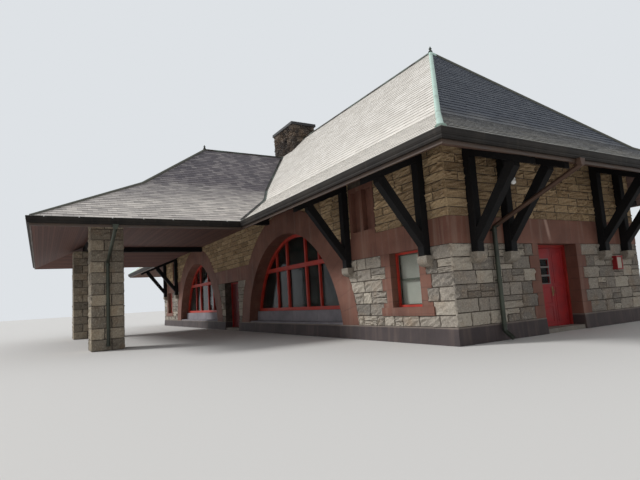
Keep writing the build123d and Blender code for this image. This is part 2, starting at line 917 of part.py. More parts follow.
hip_foot = main_profile(deck_reach, 0)
main_hip = [(corner_x, -corner_y, hip_foot[0][1]),
            (half_length + break_reach, -half_width - break_reach, break_height),
            (ridge_x, 0, ridge_height)]
porch_front = -half_width - porch_reach
porch_upper = (porch_ridge_height - porch_break_height) / (porch_half_width - porch_break_run)
porch_hip = [(porch_half_width - fascia_thickness, porch_front + fascia_thickness, eave_top),
             (porch_half_width - porch_break_run, porch_front + porch_break_run, porch_break_height),
             (0, porch_front + porch_half_width, porch_ridge_height)]
ridge_line = [(-ridge_x, 0, ridge_height), (ridge_x, 0, ridge_height)]
porch_ridge = [(0, porch_front + porch_half_width, porch_ridge_height),
               (0, 0, porch_ridge_height)]


def roll(points, radius):
    """A round roll along straight runs, with a ball where it turns."""
    with BuildPart() as tube:
        for start, end in zip(points, points[1:]):
            direction = Vector(*end) - Vector(*start)
            with BuildSketch(Plane(origin=start, z_dir=direction)):
                Circle(radius)
            extrude(amount=direction.length)
        for corner in points[1:-1]:
            with Locations(corner):
                Sphere(radius)
    return tube.part


both_roofs = main_slates + porch_slates
with BuildPart() as hip_rolls:
    for piece in four_ways(roll(main_hip, roll_radius)):
        add(piece)
    porch_roll = roll(porch_hip, roll_radius)
    add(porch_roll)
    add(mirror(porch_roll, about=Plane.YZ))
    add(both_roofs, mode=Mode.SUBTRACT)
    add(fascia_boards.part, mode=Mode.SUBTRACT)
    add(gutters.part, mode=Mode.SUBTRACT)
finish(hip_rolls, "hip_rolls")

with BuildPart() as ridge_rolls:
    add(roll(ridge_line, roll_radius))
    add(roll(porch_ridge, roll_radius))
    add(both_roofs, mode=Mode.SUBTRACT)
    add(hip_rolls.part, mode=Mode.SUBTRACT)
finish(ridge_rolls, "ridge_rolls")


def finial():
    """A turned knob on a short stem, standing on Z zero."""
    with BuildPart() as knob:
        with BuildSketch(Plane.XZ):
            with BuildLine():
                Polyline((0, 0), (finial_foot_radius, 0), (finial_neck_radius, finial_neck_bottom),
                         (finial_neck_radius, finial_neck_top), (finial_knob_radius, finial_knob_level),
                         (finial_neck_radius, finial_knob_top), (0, finial_height))
                Line((0, finial_height), (0, 0))
            make_face()
        revolve(axis=Axis.Z)
    return knob.part


finial_seat = roll_radius
with BuildPart() as finials:
    for place in ((ridge_x, 0, ridge_height + finial_seat), (-ridge_x, 0, ridge_height + finial_seat),
                  (*porch_hip[2][:2], porch_ridge_height + finial_seat)):
        add(Pos(*place) * finial())
finish(finials, "finials")

# Chimney through the middle of the main ridge

with BuildPart() as chimney:
    with Locations((0, 0, break_height)):
        Box(chimney_length, chimney_width, chimney_top - break_height,
            align=(Align.CENTER, Align.CENTER, Align.MIN))
    add(both_roofs, mode=Mode.SUBTRACT)
    add(ridge_rolls.part, mode=Mode.SUBTRACT)
finish(chimney, "chimney")

with BuildPart() as chimney_cap:
    with Locations((0, 0, chimney_top)):
        Box(chimney_length + 2 * chimney_cap_overhang, chimney_width + 2 * chimney_cap_overhang,
            chimney_cap_height, align=(Align.CENTER, Align.CENTER, Align.MIN))
finish(chimney_cap, "chimney_cap")

# Notice box beside the fourth corbel of the right end

with BuildPart() as notice_box:
    with Locations((half_length, box_place, box_bottom)):
        Box(box_depth, box_width, box_height, align=(Align.MIN, Align.CENTER, Align.MIN))
finish(notice_box, "notice_box")

# Downpipes: one at each end and one on each porch pier, slanting down from the gutter

elbow_z = fascia_bottom - pipe_elbow_drop
end_pipe_x = half_length + base_batter + pipe_from_wall + pipe_radius
end_pipe_y = -half_width + end_pipe_from_corner
pipe_out = pipe_radius + pipe_from_fascia
end_pipe_top = half_length + eave_reach + pipe_out
end_pipe = roll([(end_pipe_x, end_pipe_y, pipe_foot), (end_pipe_x, end_pipe_y, end_pipe_bend),
                 (end_pipe_top, end_pipe_y + end_pipe_drift, elbow_z),
                 (end_pipe_top, end_pipe_y + end_pipe_drift, gutter_bottom)], pipe_radius)
pier_pipe_x = pier_x + pier_size_x / 2 + pipe_from_wall + pipe_radius
pier_pipe_top = porch_half_width + pipe_out
pier_pipe = roll([(pier_pipe_x, pier_y, pipe_foot), (pier_pipe_x, pier_y, pier_pipe_bend),
                  (pier_pipe_top, pier_y, elbow_z), (pier_pipe_top, pier_y, gutter_bottom)],
                 pipe_radius)
with BuildPart() as downpipes:
    for pipe in (end_pipe, pier_pipe):
        add(pipe)
        add(mirror(pipe, about=Plane.YZ))
finish(downpipes, "downpipes")
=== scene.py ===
import math
import random

import bpy
import numpy as np
from mathutils import Matrix, Vector


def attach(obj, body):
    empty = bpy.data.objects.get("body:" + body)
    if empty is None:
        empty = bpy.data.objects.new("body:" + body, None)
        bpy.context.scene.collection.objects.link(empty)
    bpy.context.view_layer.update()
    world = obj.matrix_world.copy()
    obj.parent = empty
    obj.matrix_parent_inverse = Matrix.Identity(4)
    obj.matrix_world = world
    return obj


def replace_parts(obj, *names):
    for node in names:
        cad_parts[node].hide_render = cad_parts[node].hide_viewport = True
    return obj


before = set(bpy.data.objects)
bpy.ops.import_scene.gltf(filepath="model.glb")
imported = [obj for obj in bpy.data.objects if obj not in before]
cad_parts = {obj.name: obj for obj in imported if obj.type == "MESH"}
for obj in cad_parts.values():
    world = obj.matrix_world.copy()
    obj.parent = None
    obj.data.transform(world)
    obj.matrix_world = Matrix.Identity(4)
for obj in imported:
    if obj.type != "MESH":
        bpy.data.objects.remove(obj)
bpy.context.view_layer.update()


# Base course and floor: a plinth of dark brownstone blocks under all the walls, its face sloping
# out to the ground and its top edge paler. The floor is of worn flagstones that run out
# through the doorways as thresholds.
class Shade:
    """A socket of a finish's node tree; sums on it add Math nodes."""

    def __init__(self, owner, socket=None):
        self.owner = owner
        self.socket = socket

    def node(self, kind, settings=None, inputs=None, output=0):
        tree = self.owner.node_tree
        made = tree.nodes.new(kind)
        for name, value in (settings or {}).items():
            setattr(made, name, value)
        for name, value in (inputs or {}).items():
            if isinstance(value, Shade):
                tree.links.new(value.socket, made.inputs[name])
            else:
                made.inputs[name].default_value = value
        return Shade(self.owner, made.outputs[output] if made.outputs else None)

    def math(self, operation, *others):
        return self.node("ShaderNodeMath", {"operation": operation}, dict(enumerate((self, *others))))

    def __add__(self, other):
        return self.math("ADD", other)

    def __sub__(self, other):
        return self.math("SUBTRACT", other)

    def __rsub__(self, other):
        return self.node("ShaderNodeMath", {"operation": "SUBTRACT"}, {0: other, 1: self})

    def __mul__(self, other):
        return self.math("MULTIPLY", other)

    def __truediv__(self, other):
        return self.math("DIVIDE", other)

    def __mod__(self, other):
        return self.math("FLOORED_MODULO", other)

    def __lt__(self, other):
        return self.math("LESS_THAN", other)

    def __gt__(self, other):
        return self.math("GREATER_THAN", other)

    def __abs__(self):
        return self.math("ABSOLUTE")

    __radd__ = __add__
    __rmul__ = __mul__


def tint(red, green, blue):
    """A colour as a paint card gives it, 0 to 255, made linear."""
    card = [value / 255 for value in (red, green, blue)]
    return (*[c / 12.92 if c < 0.04 else ((c + 0.055) / 1.055) ** 2.4 for c in card], 1.0)


def begin(name):
    """Begins a finish with the place in the building, in metres."""
    material = bpy.data.materials.new(name)
    material.use_nodes = True
    material.node_tree.nodes.clear()
    return Shade(material).node("ShaderNodeTexCoord", output="Object")


def axes(vector):
    split = vector.node("ShaderNodeSeparateXYZ", inputs={0: vector}).socket.node
    return [Shade(vector.owner, socket) for socket in split.outputs]


def facing(place):
    """The three parts of the surface's normal."""
    return axes(place.node("ShaderNodeNewGeometry", output="Normal"))


def stretch(vector, x, y, z):
    return vector.node("ShaderNodeVectorMath", {"operation": "MULTIPLY"}, {0: vector, 1: (x, y, z)})


def noise(place, size, detail=3.0, rough=0.55):
    inputs = {"Vector": place, "Scale": 1 / size, "Detail": detail, "Roughness": rough}
    return place.node("ShaderNodeTexNoise", inputs=inputs)


def mix(factor, first, second):
    """Mixes colours, given as sockets or as a paint card gives them."""
    first, second = (colour if isinstance(colour, Shade) else tint(*colour) for colour in (first, second))
    settings = {"data_type": "RGBA", "clamp_factor": True}
    return factor.node("ShaderNodeMix", settings, {0: factor, 6: first, 7: second}, 2)


def ramp(value, low, high):
    """Runs from 0 at low to 1 at high."""
    return value.node("ShaderNodeMapRange", {"clamp": True}, {0: value, 1: low, 2: high})


def surface(place, relief, depth, colour, rough, shine=0.5, metal=0.0, alpha=1.0):
    """Closes a finish: relief from 0 to 1 stands depth metres proud."""
    normal = place.node("ShaderNodeBump", inputs={"Height": relief, "Distance": depth})
    sockets = {"Roughness": rough, "Specular IOR Level": shine, "Metallic": metal, "Alpha": alpha, "Normal": normal}
    shader = place.node("ShaderNodeBsdfPrincipled", inputs={"Base Color": colour, **sockets})
    place.node("ShaderNodeOutputMaterial", inputs={"Surface": shader})
    return place.owner


def upright_joints(block_length, joint_width):
    """Joints that stand upright in a wall, whichever way the wall runs."""
    def joints(place):
        side = abs(facing(place)[0]) > 0.7
        x, y, _ = axes(place)
        run = x * (1 - side) + y * side
        return abs((run + 40 * block_length) % block_length - block_length / 2) < joint_width / 2
    return joints


def brown_stone(name, dark, light, joint_lines, streak, top=None, run_down=None):
    """top: height of a top edge made paler; run_down: where on the right end a pale stain runs down."""
    place = begin(name)
    cloud = noise(place, 0.9, 4.0)
    grain = noise(place, 0.03, 4.0, 0.65)
    streaks = noise(stretch(place, 5.0, 5.0, 0.35), 1.0, 3.0)
    x, y, z = axes(place)
    colour = mix(ramp(cloud * 0.6 + grain * 0.4, 0.36, 0.64), dark, light)
    colour = mix(ramp(streaks, 0.52, 0.70) * streak, colour, (150, 128, 112))
    if top is not None:
        colour = mix(ramp(z + cloud * 0.03, top - 0.03, top) * 0.55, colour, (150, 138, 126))
    if run_down is not None:
        aside = abs(y - run_down + (z - 3.23) * 0.22 + cloud * 0.16 - 0.08)
        stain = (1 - ramp(aside, 0.02, 0.10)) * (x > 16.0) * ramp(z + grain * 0.3, 2.7, 2.95)
        colour = mix(stain * 0.7, colour, (196, 164, 148))
    joints = joint_lines(place)
    colour = mix(joints * 0.75, colour, (42, 34, 32))
    relief = cloud * 0.35 + grain * 0.45 - joints * 0.8
    return surface(place, relief, 0.004, colour, ramp(grain, -0.6, 0.9))


def dress(material, *nodes):
    """Gives CAD nodes their finish."""
    for node in nodes:
        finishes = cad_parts[node].data.materials
        finishes.clear()
        finishes.append(material)


def flag_stone():
    place = begin("flagstone")
    flag_length, flag_width, half_joint = 1.1, 0.75, 0.006
    x, y, _ = axes(place)
    across = abs((y + 40 * flag_width) % flag_width - flag_width / 2) < half_joint
    along = abs((x + 60.0) % flag_length - flag_length / 2) < half_joint
    joints = across.math("MAXIMUM", along)
    cloud = noise(place, 0.5, 4.0)
    grain = noise(place, 0.02)
    colour = mix(ramp(cloud * 0.7 + grain * 0.3, 0.35, 0.65), (112, 106, 98), (150, 143, 132))
    colour = mix(joints * 0.8, colour, (70, 66, 62))
    return surface(place, cloud * 0.4 + grain * 0.3 - joints, 0.003, colour, 0.8)


plinth_top = 0.44
dress(brown_stone("plinth_brownstone", (50, 42, 43), (76, 65, 64), upright_joints(1.22, 0.010), 0.12,
                  plinth_top), "base_course")
dress(flag_stone(), "floor_slab")


# Walls: 600 mm of granite with a rock face, in courses of 350 mm below the belt, where some stones are
# two thin ones, and of 235 mm above it. Long and short ones take turns at the corners, and the faces
# stand about 50 mm proud of the mortar.
def mortar():
    place = begin("mortar")
    cloud = noise(place, 0.25, 4.0)
    grain = noise(place, 0.006, 2.0)
    colour = mix(ramp(cloud, 0.3, 0.7), (58, 51, 45), (92, 83, 73))
    return surface(place, cloud * 0.3 + grain * 0.7, 0.003, colour, 0.95)


mortar_bed = mortar()
dress(mortar_bed, "front_wall", "back_wall", "right_end_wall", "left_end_wall")


def granite(name, shades, upper=None):
    """shades: the darkest, middle and palest stones; upper: the same for the stones above the belt."""
    place = begin(name)
    tone = place.node("ShaderNodeAttribute", {"attribute_name": "tone"}, output="Fac")

    def shade_of(dark, middle, pale):
        return mix(ramp(tone, 0.55, 1.0), mix(ramp(tone, 0.0, 0.45), dark, middle), pale)

    colour = shade_of(*shades)
    if upper is not None:
        colour = mix(axes(place)[2] > 2.9, colour, shade_of(*upper))
    cloud = noise(place, 0.5, 3.0)
    chips = noise(place, 0.045, 4.0, 0.7)
    crystals = noise(place, 0.010, 3.0, 0.7)
    colour = mix(ramp(cloud, 0.50, 0.78) * 0.35, colour, (146, 112, 74))
    colour = mix(ramp(chips, 0.53, 0.70) * 0.5, colour, (76, 69, 62))
    colour = mix((1 - ramp(chips, 0.32, 0.46)) * 0.45, colour, (208, 198, 180))
    colour = mix(ramp(crystals, 0.56, 0.70) * 0.35, colour, (60, 56, 54))
    relief = noise(place, 0.12, 4.0, 0.6) * 0.6 + chips * 0.3 + crystals * 0.1
    return surface(place, relief, 0.045, colour, 0.88)


def pick(*parts):
    """Selects these alone; the first is the active one."""
    bpy.ops.object.select_all(action="DESELECT")
    for part in reversed(parts):
        part.select_set(True)
        bpy.context.view_layer.objects.active = part


def add(primitive, **settings):
    """Adds a primitive alone."""
    pick()
    primitive(**settings)
    return bpy.context.object


def edit(*steps):
    """Runs the steps in edit mode, on the whole mesh of the active part."""
    bpy.ops.object.mode_set(mode="EDIT")
    bpy.ops.mesh.select_all(action="SELECT")
    for step in steps:
        step()
    bpy.ops.object.mode_set(mode="OBJECT")


def corners_of(part):
    return np.array([vertex.co[:] for vertex in part.data.vertices])


def set_corners(part, places):
    part.data.vertices.foreach_set("co", np.ravel(places))


def set_tone(part, values):
    """Gives the finish a number from 0 to 1 at each corner."""
    part.data.attributes.new("tone", "FLOAT", "POINT").data.foreach_set("value", values)


def rock_block(seed, rise=0.034, wild=0.024):
    """A block 1 by 1 whose pitched face stands up from its edges."""
    across, up, sunk = 5, 4, 0.008
    block = add(bpy.ops.mesh.primitive_grid_add, x_subdivisions=across, y_subdivisions=up, size=0.93)
    edit(
        lambda: bpy.ops.transform.translate(value=(0, 0, rise * 0.5)),
        lambda: bpy.ops.transform.vertex_random(offset=wild, normal=1.0, seed=seed),
        lambda: bpy.ops.transform.vertex_random(offset=0.03, normal=0.0, seed=seed + 50),
        bpy.ops.mesh.region_to_loop,
        lambda: bpy.ops.transform.translate(value=(0, 0, -rise * 0.30)),
        lambda: bpy.ops.mesh.extrude_region_move(TRANSFORM_OT_translate={"value": (0, 0, -rise * 0.6 - 0.012)}),
        lambda: bpy.ops.transform.resize(value=(1.06, 1.06, 1.0)),
    )
    points = corners_of(block)
    rim = np.arange(len(points)) >= (across + 1) * (up + 1)
    points[rim, :2] = np.clip(points[rim, :2] * 1.2, -0.5, 0.5)
    points[:, 2] = np.maximum(points[:, 2], sunk)
    points[rim, 2] = -0.01
    set_corners(block, points)
    return block


def copy_at(part, place):
    """A copy of a part with a mesh of its own."""
    copy = part.copy()
    copy.data = part.data.copy()
    copy.matrix_world = place
    bpy.context.scene.collection.objects.link(copy)
    return copy


def join_all(name, parts, material, body="building"):
    """Makes parts into one piece, in metres from the building's middle."""
    pick(*parts)
    if len(parts) > 1:
        bpy.ops.object.join()
    bpy.ops.object.transform_apply()
    piece = bpy.context.object
    piece.name = name
    piece.data.materials.clear()
    piece.data.materials.append(material)
    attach(piece, body)
    return piece


def place_block(templates, dice, face, span, rows, proud, least):
    """Sets a block on a face; span and rows are its ends and heights, measured from the middle."""
    (start, end), (low, high), joint = span, rows, 0.015
    template, tone = dice.choice(templates), dice.random()
    flip, proud = dice.choice((0, math.pi)), proud * dice.uniform(least, 1.2)
    middle = Matrix.Translation(((start + end) / 2, (low + high) / 2, 0))
    size = Matrix.Diagonal((end - start - joint, high - low - joint, proud, 1))
    block = copy_at(template, face @ middle @ Matrix.Rotation(flip, 4, "Z") @ size)
    set_tone(block, [tone] * len(block.data.vertices))
    return block


def lay_stones(templates, dice, face, courses, clear, lengths, proud, split):
    """Fills the clear stretches of each course with stones; clear(low, high) gives them."""
    laid = []
    shortest, longest = lengths
    for number, (low, high) in enumerate(courses):
        for start, end in clear(low, high):
            at = start
            while end - at > 0.02:
                first = at == start
                length = dice.uniform(shortest, longest)
                if first and number % 2:
                    length = longest
                if end - at - length < shortest:
                    length = end - at if end - at < longest * 1.15 else (end - at) / 2
                stones = [(low, high)]
                if dice.random() < split and length < longest * 0.95 and not first:
                    between = low + (high - low) * dice.choice((0.42, 0.5, 0.58))
                    stones = [(low, between), (between, high)]
                for rows in stones:
                    laid.append(place_block(templates, dice, face, (at, at + length), rows, proud, 0.75))
                at += length
    return laid


def less(stretches, middle, half):
    """Takes the stretch from middle - half to middle + half out of the clear stretches."""
    kept = []
    for low, high in stretches:
        if middle + half <= low or middle - half >= high:
            kept.append((low, high))
            continue
        if middle - half > low:
            kept.append((low, middle - half))
        if middle + half < high:
            kept.append((middle + half, high))
    return kept


def level_rows(bottom, height, count):
    return [(bottom + height * i, bottom + height * (i + 1)) for i in range(count)]


def faces(middle, half_x, half_y):
    """Number, place and half width of the four upright faces of a block. On a face x runs along it,
    y up and z out."""
    upright = Matrix.Rotation(math.pi / 2, 4, "X")
    for number in range(4):
        half_run, half_out = (half_y, half_x) if number % 2 else (half_x, half_y)
        turn = Matrix.Rotation(number * math.pi / 2, 4, "Z")
        yield number, Matrix.Translation(middle) @ turn @ Matrix.Translation((0, -half_out, 0)) @ upright, half_run


wall_half_length, wall_half_width, belt_low, belt_high = 16.05, 4.285, 2.53, 3.23
arch_middle, arch_foot, arch_outer, arch_inner = 6.66, -0.12, 5.22, 4.25
sash_middle, sash_half, sash_low = 14.23, 0.62, 0.74
tooth_long, tooth_short = 0.42, 0.25
panel_middle, panel_half = 12.37, 0.675
side_row, end_row = 0.358, 0.3483
blocks = [rock_block(seed) for seed in range(8)]
past_corner = 0.028


def side_clear(low, high):
    """Clear stretches of a long wall, from its middle."""
    end = wall_half_length + past_corner
    stretches = [(-end, end)]
    reach = math.sqrt(max(arch_outer**2 - (high - arch_foot) ** 2, 0)) - 0.06
    inner = math.sqrt(max(arch_inner**2 - (low - arch_foot) ** 2, 0)) + 0.05
    hidden = max(reach, inner) if low - arch_foot < arch_outer else 0
    for side in (-1, 1):
        if hidden > 0:
            stretches = less(stretches, side * arch_middle, hidden)
        if low > belt_high - 0.01:
            stretches = less(stretches, side * panel_middle, panel_half)
    return stretches


def tooth(low, high, bottom, height):
    """How far a toothed stone reaches at the row between two heights."""
    return tooth_short if int((0.5 * (low + high) - bottom) / height) % 2 else tooth_long


def sash_clear(low, high):
    """The same below the belt, with the toothed window surrounds and the doorway taken out."""
    stretches = side_clear(low, high)
    if low > sash_low - 0.02:
        for side in (-1, 1):
            stretches = less(stretches, side * sash_middle, sash_half + tooth(low, high, sash_low, side_row))
    return less(stretches, 0, 1.05)


def end_clear(low, high):
    end = wall_half_width + past_corner
    if low > belt_low:
        return [(-end, end)]
    return less([(-end, end)], 0, 0.9 + tooth(low, high, plinth_top, end_row))


def cut_to_arches(piece):
    """Cuts the stones beside an arch to its curve, with a joint of 12 mm."""
    points = corners_of(piece)
    reach = np.sqrt(np.maximum(arch_outer**2 - (points[:, 2] - arch_foot) ** 2, 0)) + 0.012
    for side in (-1, 1):
        away = points[:, 0] - side * arch_middle
        points[:, 0] = side * arch_middle + np.sign(away) * np.maximum(np.abs(away), reach)
    set_corners(piece, points)
    piece.data.update()


wall_granite = granite(
    "wall_granite",
    ((118, 112, 104), (150, 142, 131), (184, 175, 160)),
    ((140, 117, 86), (168, 142, 107), (194, 168, 130)),
)
side_rows = [(plinth_top, sash_low)] + level_rows(sash_low, side_row, 5)
end_rows, upper_rows = level_rows(plinth_top, end_row, 6), level_rows(belt_high, 0.2338, 8)
walls = (
    ("front", side_rows, sash_clear, side_clear), ("right_end", end_rows, end_clear, end_clear),
    ("back", side_rows, sash_clear, side_clear), ("left_end", end_rows, end_clear, end_clear),
)
for number, face, _ in faces((0, 0, 0), wall_half_length, wall_half_width):
    name, low_rows, low_clear, high_clear = walls[number]
    dice = random.Random(40 + number)
    laid = lay_stones(blocks, dice, face, low_rows, low_clear, (0.34, 0.82), 1.35, 0.45)
    laid += lay_stones(blocks, dice, face, upper_rows, high_clear, (0.40, 1.05), 1.45, 0.0)
    stones = join_all(name + "_wall_stones", laid, wall_granite)
    if name in ("front", "back"):
        cut_to_arches(stones)


# Brownstone trim: the belt that is the lintel of every opening, the arch rings, the toothed window
# surrounds and door jambs, the sills and the blind twin windows, all rubbed smooth.
def arch_joints(place):
    """Joints between the arch stones, 0.6 m wide at the outer edge, that point at its centre."""
    x, _, z = axes(place)
    angle = (z - arch_foot).math("ARCTAN2", abs(x) - arch_middle)
    return abs((angle * (arch_outer / 0.6) + 40.0) % 1.0 - 0.5) > 0.493


def bed_joints(place):
    """Level joints between the rows of toothed blocks."""
    half_row, joint_edge = 0.1741, 0.1705
    return abs((axes(place)[2] - plinth_top + 10 * end_row) % end_row - half_row) > joint_edge


trim_colours = ((98, 62, 50), (128, 86, 70))
dress(brown_stone("trim_brownstone", *trim_colours, bed_joints, 0.25), "sash_window_surrounds", "end_door_jambs")
belt_colours = ((102, 65, 53), (134, 91, 75))
belt_stone = brown_stone("belt_brownstone", *belt_colours, upright_joints(1.37, 0.009), 0.40, run_down=-0.45)
dress(belt_stone, "belt_course", "blind_window_panels")
dress(brown_stone("arch_brownstone", *trim_colours, arch_joints, 0.2), "window_arches")


# Aprons under the arched windows: slabs of smooth grey granite with a few upright joints, and in front
# of them a pale ledge, laid on the base course between the feet of the arch.
def apron_granite():
    place = begin("apron_granite")
    cloud = noise(place, 0.6, 4.0)
    grain = noise(place, 0.012, 3.0, 0.7)
    colour = mix(ramp(cloud * 0.6 + grain * 0.4, 0.35, 0.65), (112, 108, 114), (146, 141, 145))
    return surface(place, cloud * 0.4 + grain * 0.6, 0.003, colour, 0.75)


def modify(part, kind, **settings):
    """Puts a modifier on the active part and applies it."""
    modifier = part.modifiers.new(kind.lower(), kind)
    for name, value in settings.items():
        setattr(modifier, name, value)
    bpy.ops.object.modifier_apply(modifier=modifier.name)


def box(low, high):
    """A plain box between two corners."""
    part = add(bpy.ops.mesh.primitive_cube_add, size=1, location=[(a + b) / 2 for a, b in zip(low, high)])
    part.scale = [b - a for a, b in zip(low, high)]
    bpy.ops.object.transform_apply()
    return part


def bevelled_box(low, high, width, segments=2):
    """The same with its edges rounded off."""
    part = box(low, high)
    modify(part, "BEVEL", width=width, segments=segments)
    return part


def turned(parts):
    """Copies of parts, turned half round the middle of the building."""
    return [copy_at(part, Matrix.Rotation(math.pi, 4, "Z") @ part.matrix_world) for part in parts]


apron_face, apron_half, apron_gap = wall_half_width - 0.42, 4.2, 0.004
apron_joints = (-apron_half, -2.35, -0.35, 1.75, apron_half)
slabs = []
for side in (-1, 1):
    middle = side * arch_middle
    for start, end in zip(apron_joints, apron_joints[1:]):
        slabs.append(bevelled_box((middle + start + apron_gap, -apron_face - 0.02, 0.45),
                                  (middle + end - apron_gap, -apron_face + 0.01, 0.935), 0.008))
    slabs.append(bevelled_box((middle - apron_half, -wall_half_width + 0.015, 0.435),
                              (middle + apron_half, -apron_face - 0.02, 0.505), 0.015))
slabs += turned(slabs)
join_all("window_aprons", slabs, apron_granite())


# Windows: softwood frames painted vermilion red, the paint chalky, with plain glass bedded behind
# them. The small windows have thin green sashes that meet at half height, and pale roller blinds
# behind the glass.
def paint(name, dark, light, chalk):
    place = begin(name)
    cloud = noise(place, 0.4, 3.0)
    grain = noise(stretch(place, 1.0, 1.0, 0.12), 0.012, 3.0)
    colour = mix(ramp(cloud, 0.3, 0.7), dark, light)
    colour = mix(ramp(grain, 0.60, 0.8) * 0.5, colour, chalk)
    return surface(place, grain, 0.0008, colour, ramp(cloud, -0.4, 1.3))


def window_pane():
    """Glass tinted dark and partly opaque as painted shade of the unlit rooms behind it, clearer in the small windows
    than in the arched ones.
    """
    place = begin("window_pane")
    wave = noise(place, 0.5, 2.0)
    small = abs(axes(place)[0]) > 12.5
    dark_tint_patches = ramp(noise(place, 0.9, 4.0, 0.6), 0.40, 0.75)
    # Painted shade: the dark tint of the glass varies in patches.
    colour = mix(dark_tint_patches, (24, 28, 27), (58, 64, 60))
    return surface(place, wave, 0.0012, colour, 0.06, shine=0.22, alpha=small * -0.54 + 0.72)


window_red = paint("window_red", (166, 40, 28), (196, 58, 40), (112, 34, 28))
dress(window_red, "arch_window_frames", "sash_window_frames")
dress(window_pane(), "window_glass", "right_end_door_glass")


def lattice(low, high, turn, columns, rows, bar, depth):
    """Bars round and between equal openings; low and high are (along, out, height) on the front side,
    and turn swings the whole to another side of the building."""
    work = add(bpy.ops.mesh.primitive_grid_add, x_subdivisions=columns, y_subdivisions=rows, size=1,
               location=[(a + b) / 2 for a, b in zip(low, high)], rotation=(math.pi / 2, 0, 0))
    work.scale = (high[0] - low[0], high[2] - low[2], 1)
    bpy.ops.object.transform_apply()
    edit(
        lambda: bpy.ops.mesh.inset(thickness=bar, use_individual=True),
        lambda: bpy.ops.mesh.delete(type="ONLY_FACE"),
    )
    modify(work, "SOLIDIFY", thickness=depth, offset=0)
    modify(work, "BEVEL", width=0.004, limit_method="ANGLE")
    if turn:
        work.matrix_world = Matrix.Rotation(turn, 4, "Z") @ work.matrix_world
        bpy.ops.object.transform_apply()
    return work


sash_edge, sash_face = 0.06, -wall_half_width + 0.285
sash_foot, sash_head = 0.97 + sash_edge, belt_low - sash_edge
sashes, blinds = [], []
for side in (-1, 1):
    left = side * sash_middle - sash_half + sash_edge
    right = side * sash_middle + sash_half - sash_edge
    sashes.append(lattice((left, sash_face, sash_foot), (right, sash_face, sash_head), 0, 1, 2, 0.026, 0.024))
    for near, far, low, high, width in ((0.075, 0.078, 0.99, 2.50, 0.001), (0.068, 0.084, 1.02, 1.05, 0.004)):
        blinds.append(bevelled_box((left - 0.03, sash_face + near, low), (right + 0.03, sash_face + far, high), width))
sashes += turned(sashes)
blinds += turned(blinds)
sash_green = paint("sash_green", (52, 60, 50), (76, 84, 70), (100, 104, 92))
join_all("window_sashes", sashes, sash_green)
blind_cloth = paint("blind_cloth", (214, 220, 204), (228, 232, 218), (192, 200, 184))
join_all("window_blinds", blinds, blind_cloth)

rails, rail_half, rail_tall, rail_out = [], 2.99, 0.042, -wall_half_width + 0.50
for side in (-1, 1):
    left, right = side * arch_middle - rail_half, side * arch_middle + rail_half
    for low in (2.70, 2.815):
        rails.append(bevelled_box((left, rail_out - 0.022, low), (right, rail_out + 0.002, low + rail_tall), 0.005, 1))
rails += turned(rails)
join_all("transom_rails", rails, window_red)


# Doors: the end doors are a wide crimson leaf with a light of three panes in a dull frame, and a
# narrow fixed panel beside it. The doors in the middle are pairs with raised panels.
dress(paint("door_frame_red", (142, 30, 26), (168, 42, 34), (98, 26, 24)), "door_frames")
door_red = paint("door_crimson", (134, 22, 28), (164, 34, 36), (96, 22, 26))
dark_door = paint("door_oxblood", (88, 24, 25), (110, 34, 33), (62, 20, 21))
dress(door_red, "end_door_side_panels", "right_end_door", "left_end_door")
dress(dark_door, "front_door_right", "front_door_left", "back_doors")
dull_frame = paint("dull_frame", (98, 92, 88), (124, 118, 112), (80, 76, 74))
brass = paint("worn_brass", (120, 98, 56), (150, 126, 78), (84, 70, 46))


def raised(middle, half, heights, face, turn, columns):
    """Raised panels one over the other, drawn on the front side and swung to another."""
    return [lattice((middle - half, face, low), (middle + half, face, high), turn, columns, 1, 0.022, 0.016)
            for low, high in heights]


def pull_handle(at, out, height, turn):
    """A bowed pull on a long plate."""
    plate = bevelled_box((at - 0.028, out - 0.004, height - 0.14), (at + 0.028, out + 0.004, height + 0.14), 0.003)
    bow = add(bpy.ops.mesh.primitive_torus_add, location=(at, out - 0.004, height), rotation=(0, math.pi / 2, 0),
              major_radius=0.055, minor_radius=0.007, major_segments=20, minor_segments=8)
    for part in (plate, bow):
        part.matrix_world = Matrix.Rotation(turn, 4, "Z") @ part.matrix_world
    return [plate, bow]


end_leaf_face, middle_leaf_face = -wall_half_length + 0.415, -wall_half_width + 0.415
light_low, light_high, leaf_half = 1.37, 2.13, 0.395
for name, body, flip in (("right_end", "end_door", 1), ("left_end", "building", -1)):
    turn, middle, beside = flip * math.pi / 2, flip * -0.2975, flip * 0.52
    light = lattice((middle - leaf_half, end_leaf_face, light_low), (middle + leaf_half, end_leaf_face, light_high),
                    turn, 1, 3, 0.028, 0.022)
    panels = raised(middle, leaf_half, ((0.24, 0.72), (0.80, 1.28)), end_leaf_face, turn, 2)
    fixed = raised(beside, 0.22, ((0.24, 1.28), (1.40, 2.32)), end_leaf_face, turn, 1)
    if body == "building":
        panels, fixed = panels + fixed, []
    join_all(name + "_light_frame", [light], dull_frame, body)
    join_all(name + "_panels", panels, door_red, body)
    join_all(name + "_pull", pull_handle(flip * 0.165, end_leaf_face, 1.15, turn), brass, body)
    if fixed:
        join_all(name + "_side_trim", fixed, door_red)

for side, name in ((-1, "front_door_left"), (1, "front_door_right")):
    panels = raised(side * 0.48, 0.39, ((0.24, 0.95), (1.08, 2.32)), middle_leaf_face, 0, 2)
    back_panels = turned(panels)
    join_all(name + "_panels", panels, dark_door, name)
    pull = pull_handle(side * 0.06, middle_leaf_face, 1.02, 0)
    back_pull = turned(pull)
    join_all(name + "_pull", pull, brass, name)
    back_name = name.replace("front", "back")
    join_all(back_name + "_panels", back_panels, dark_door)
    join_all(back_name + "_pull", back_pull, brass)


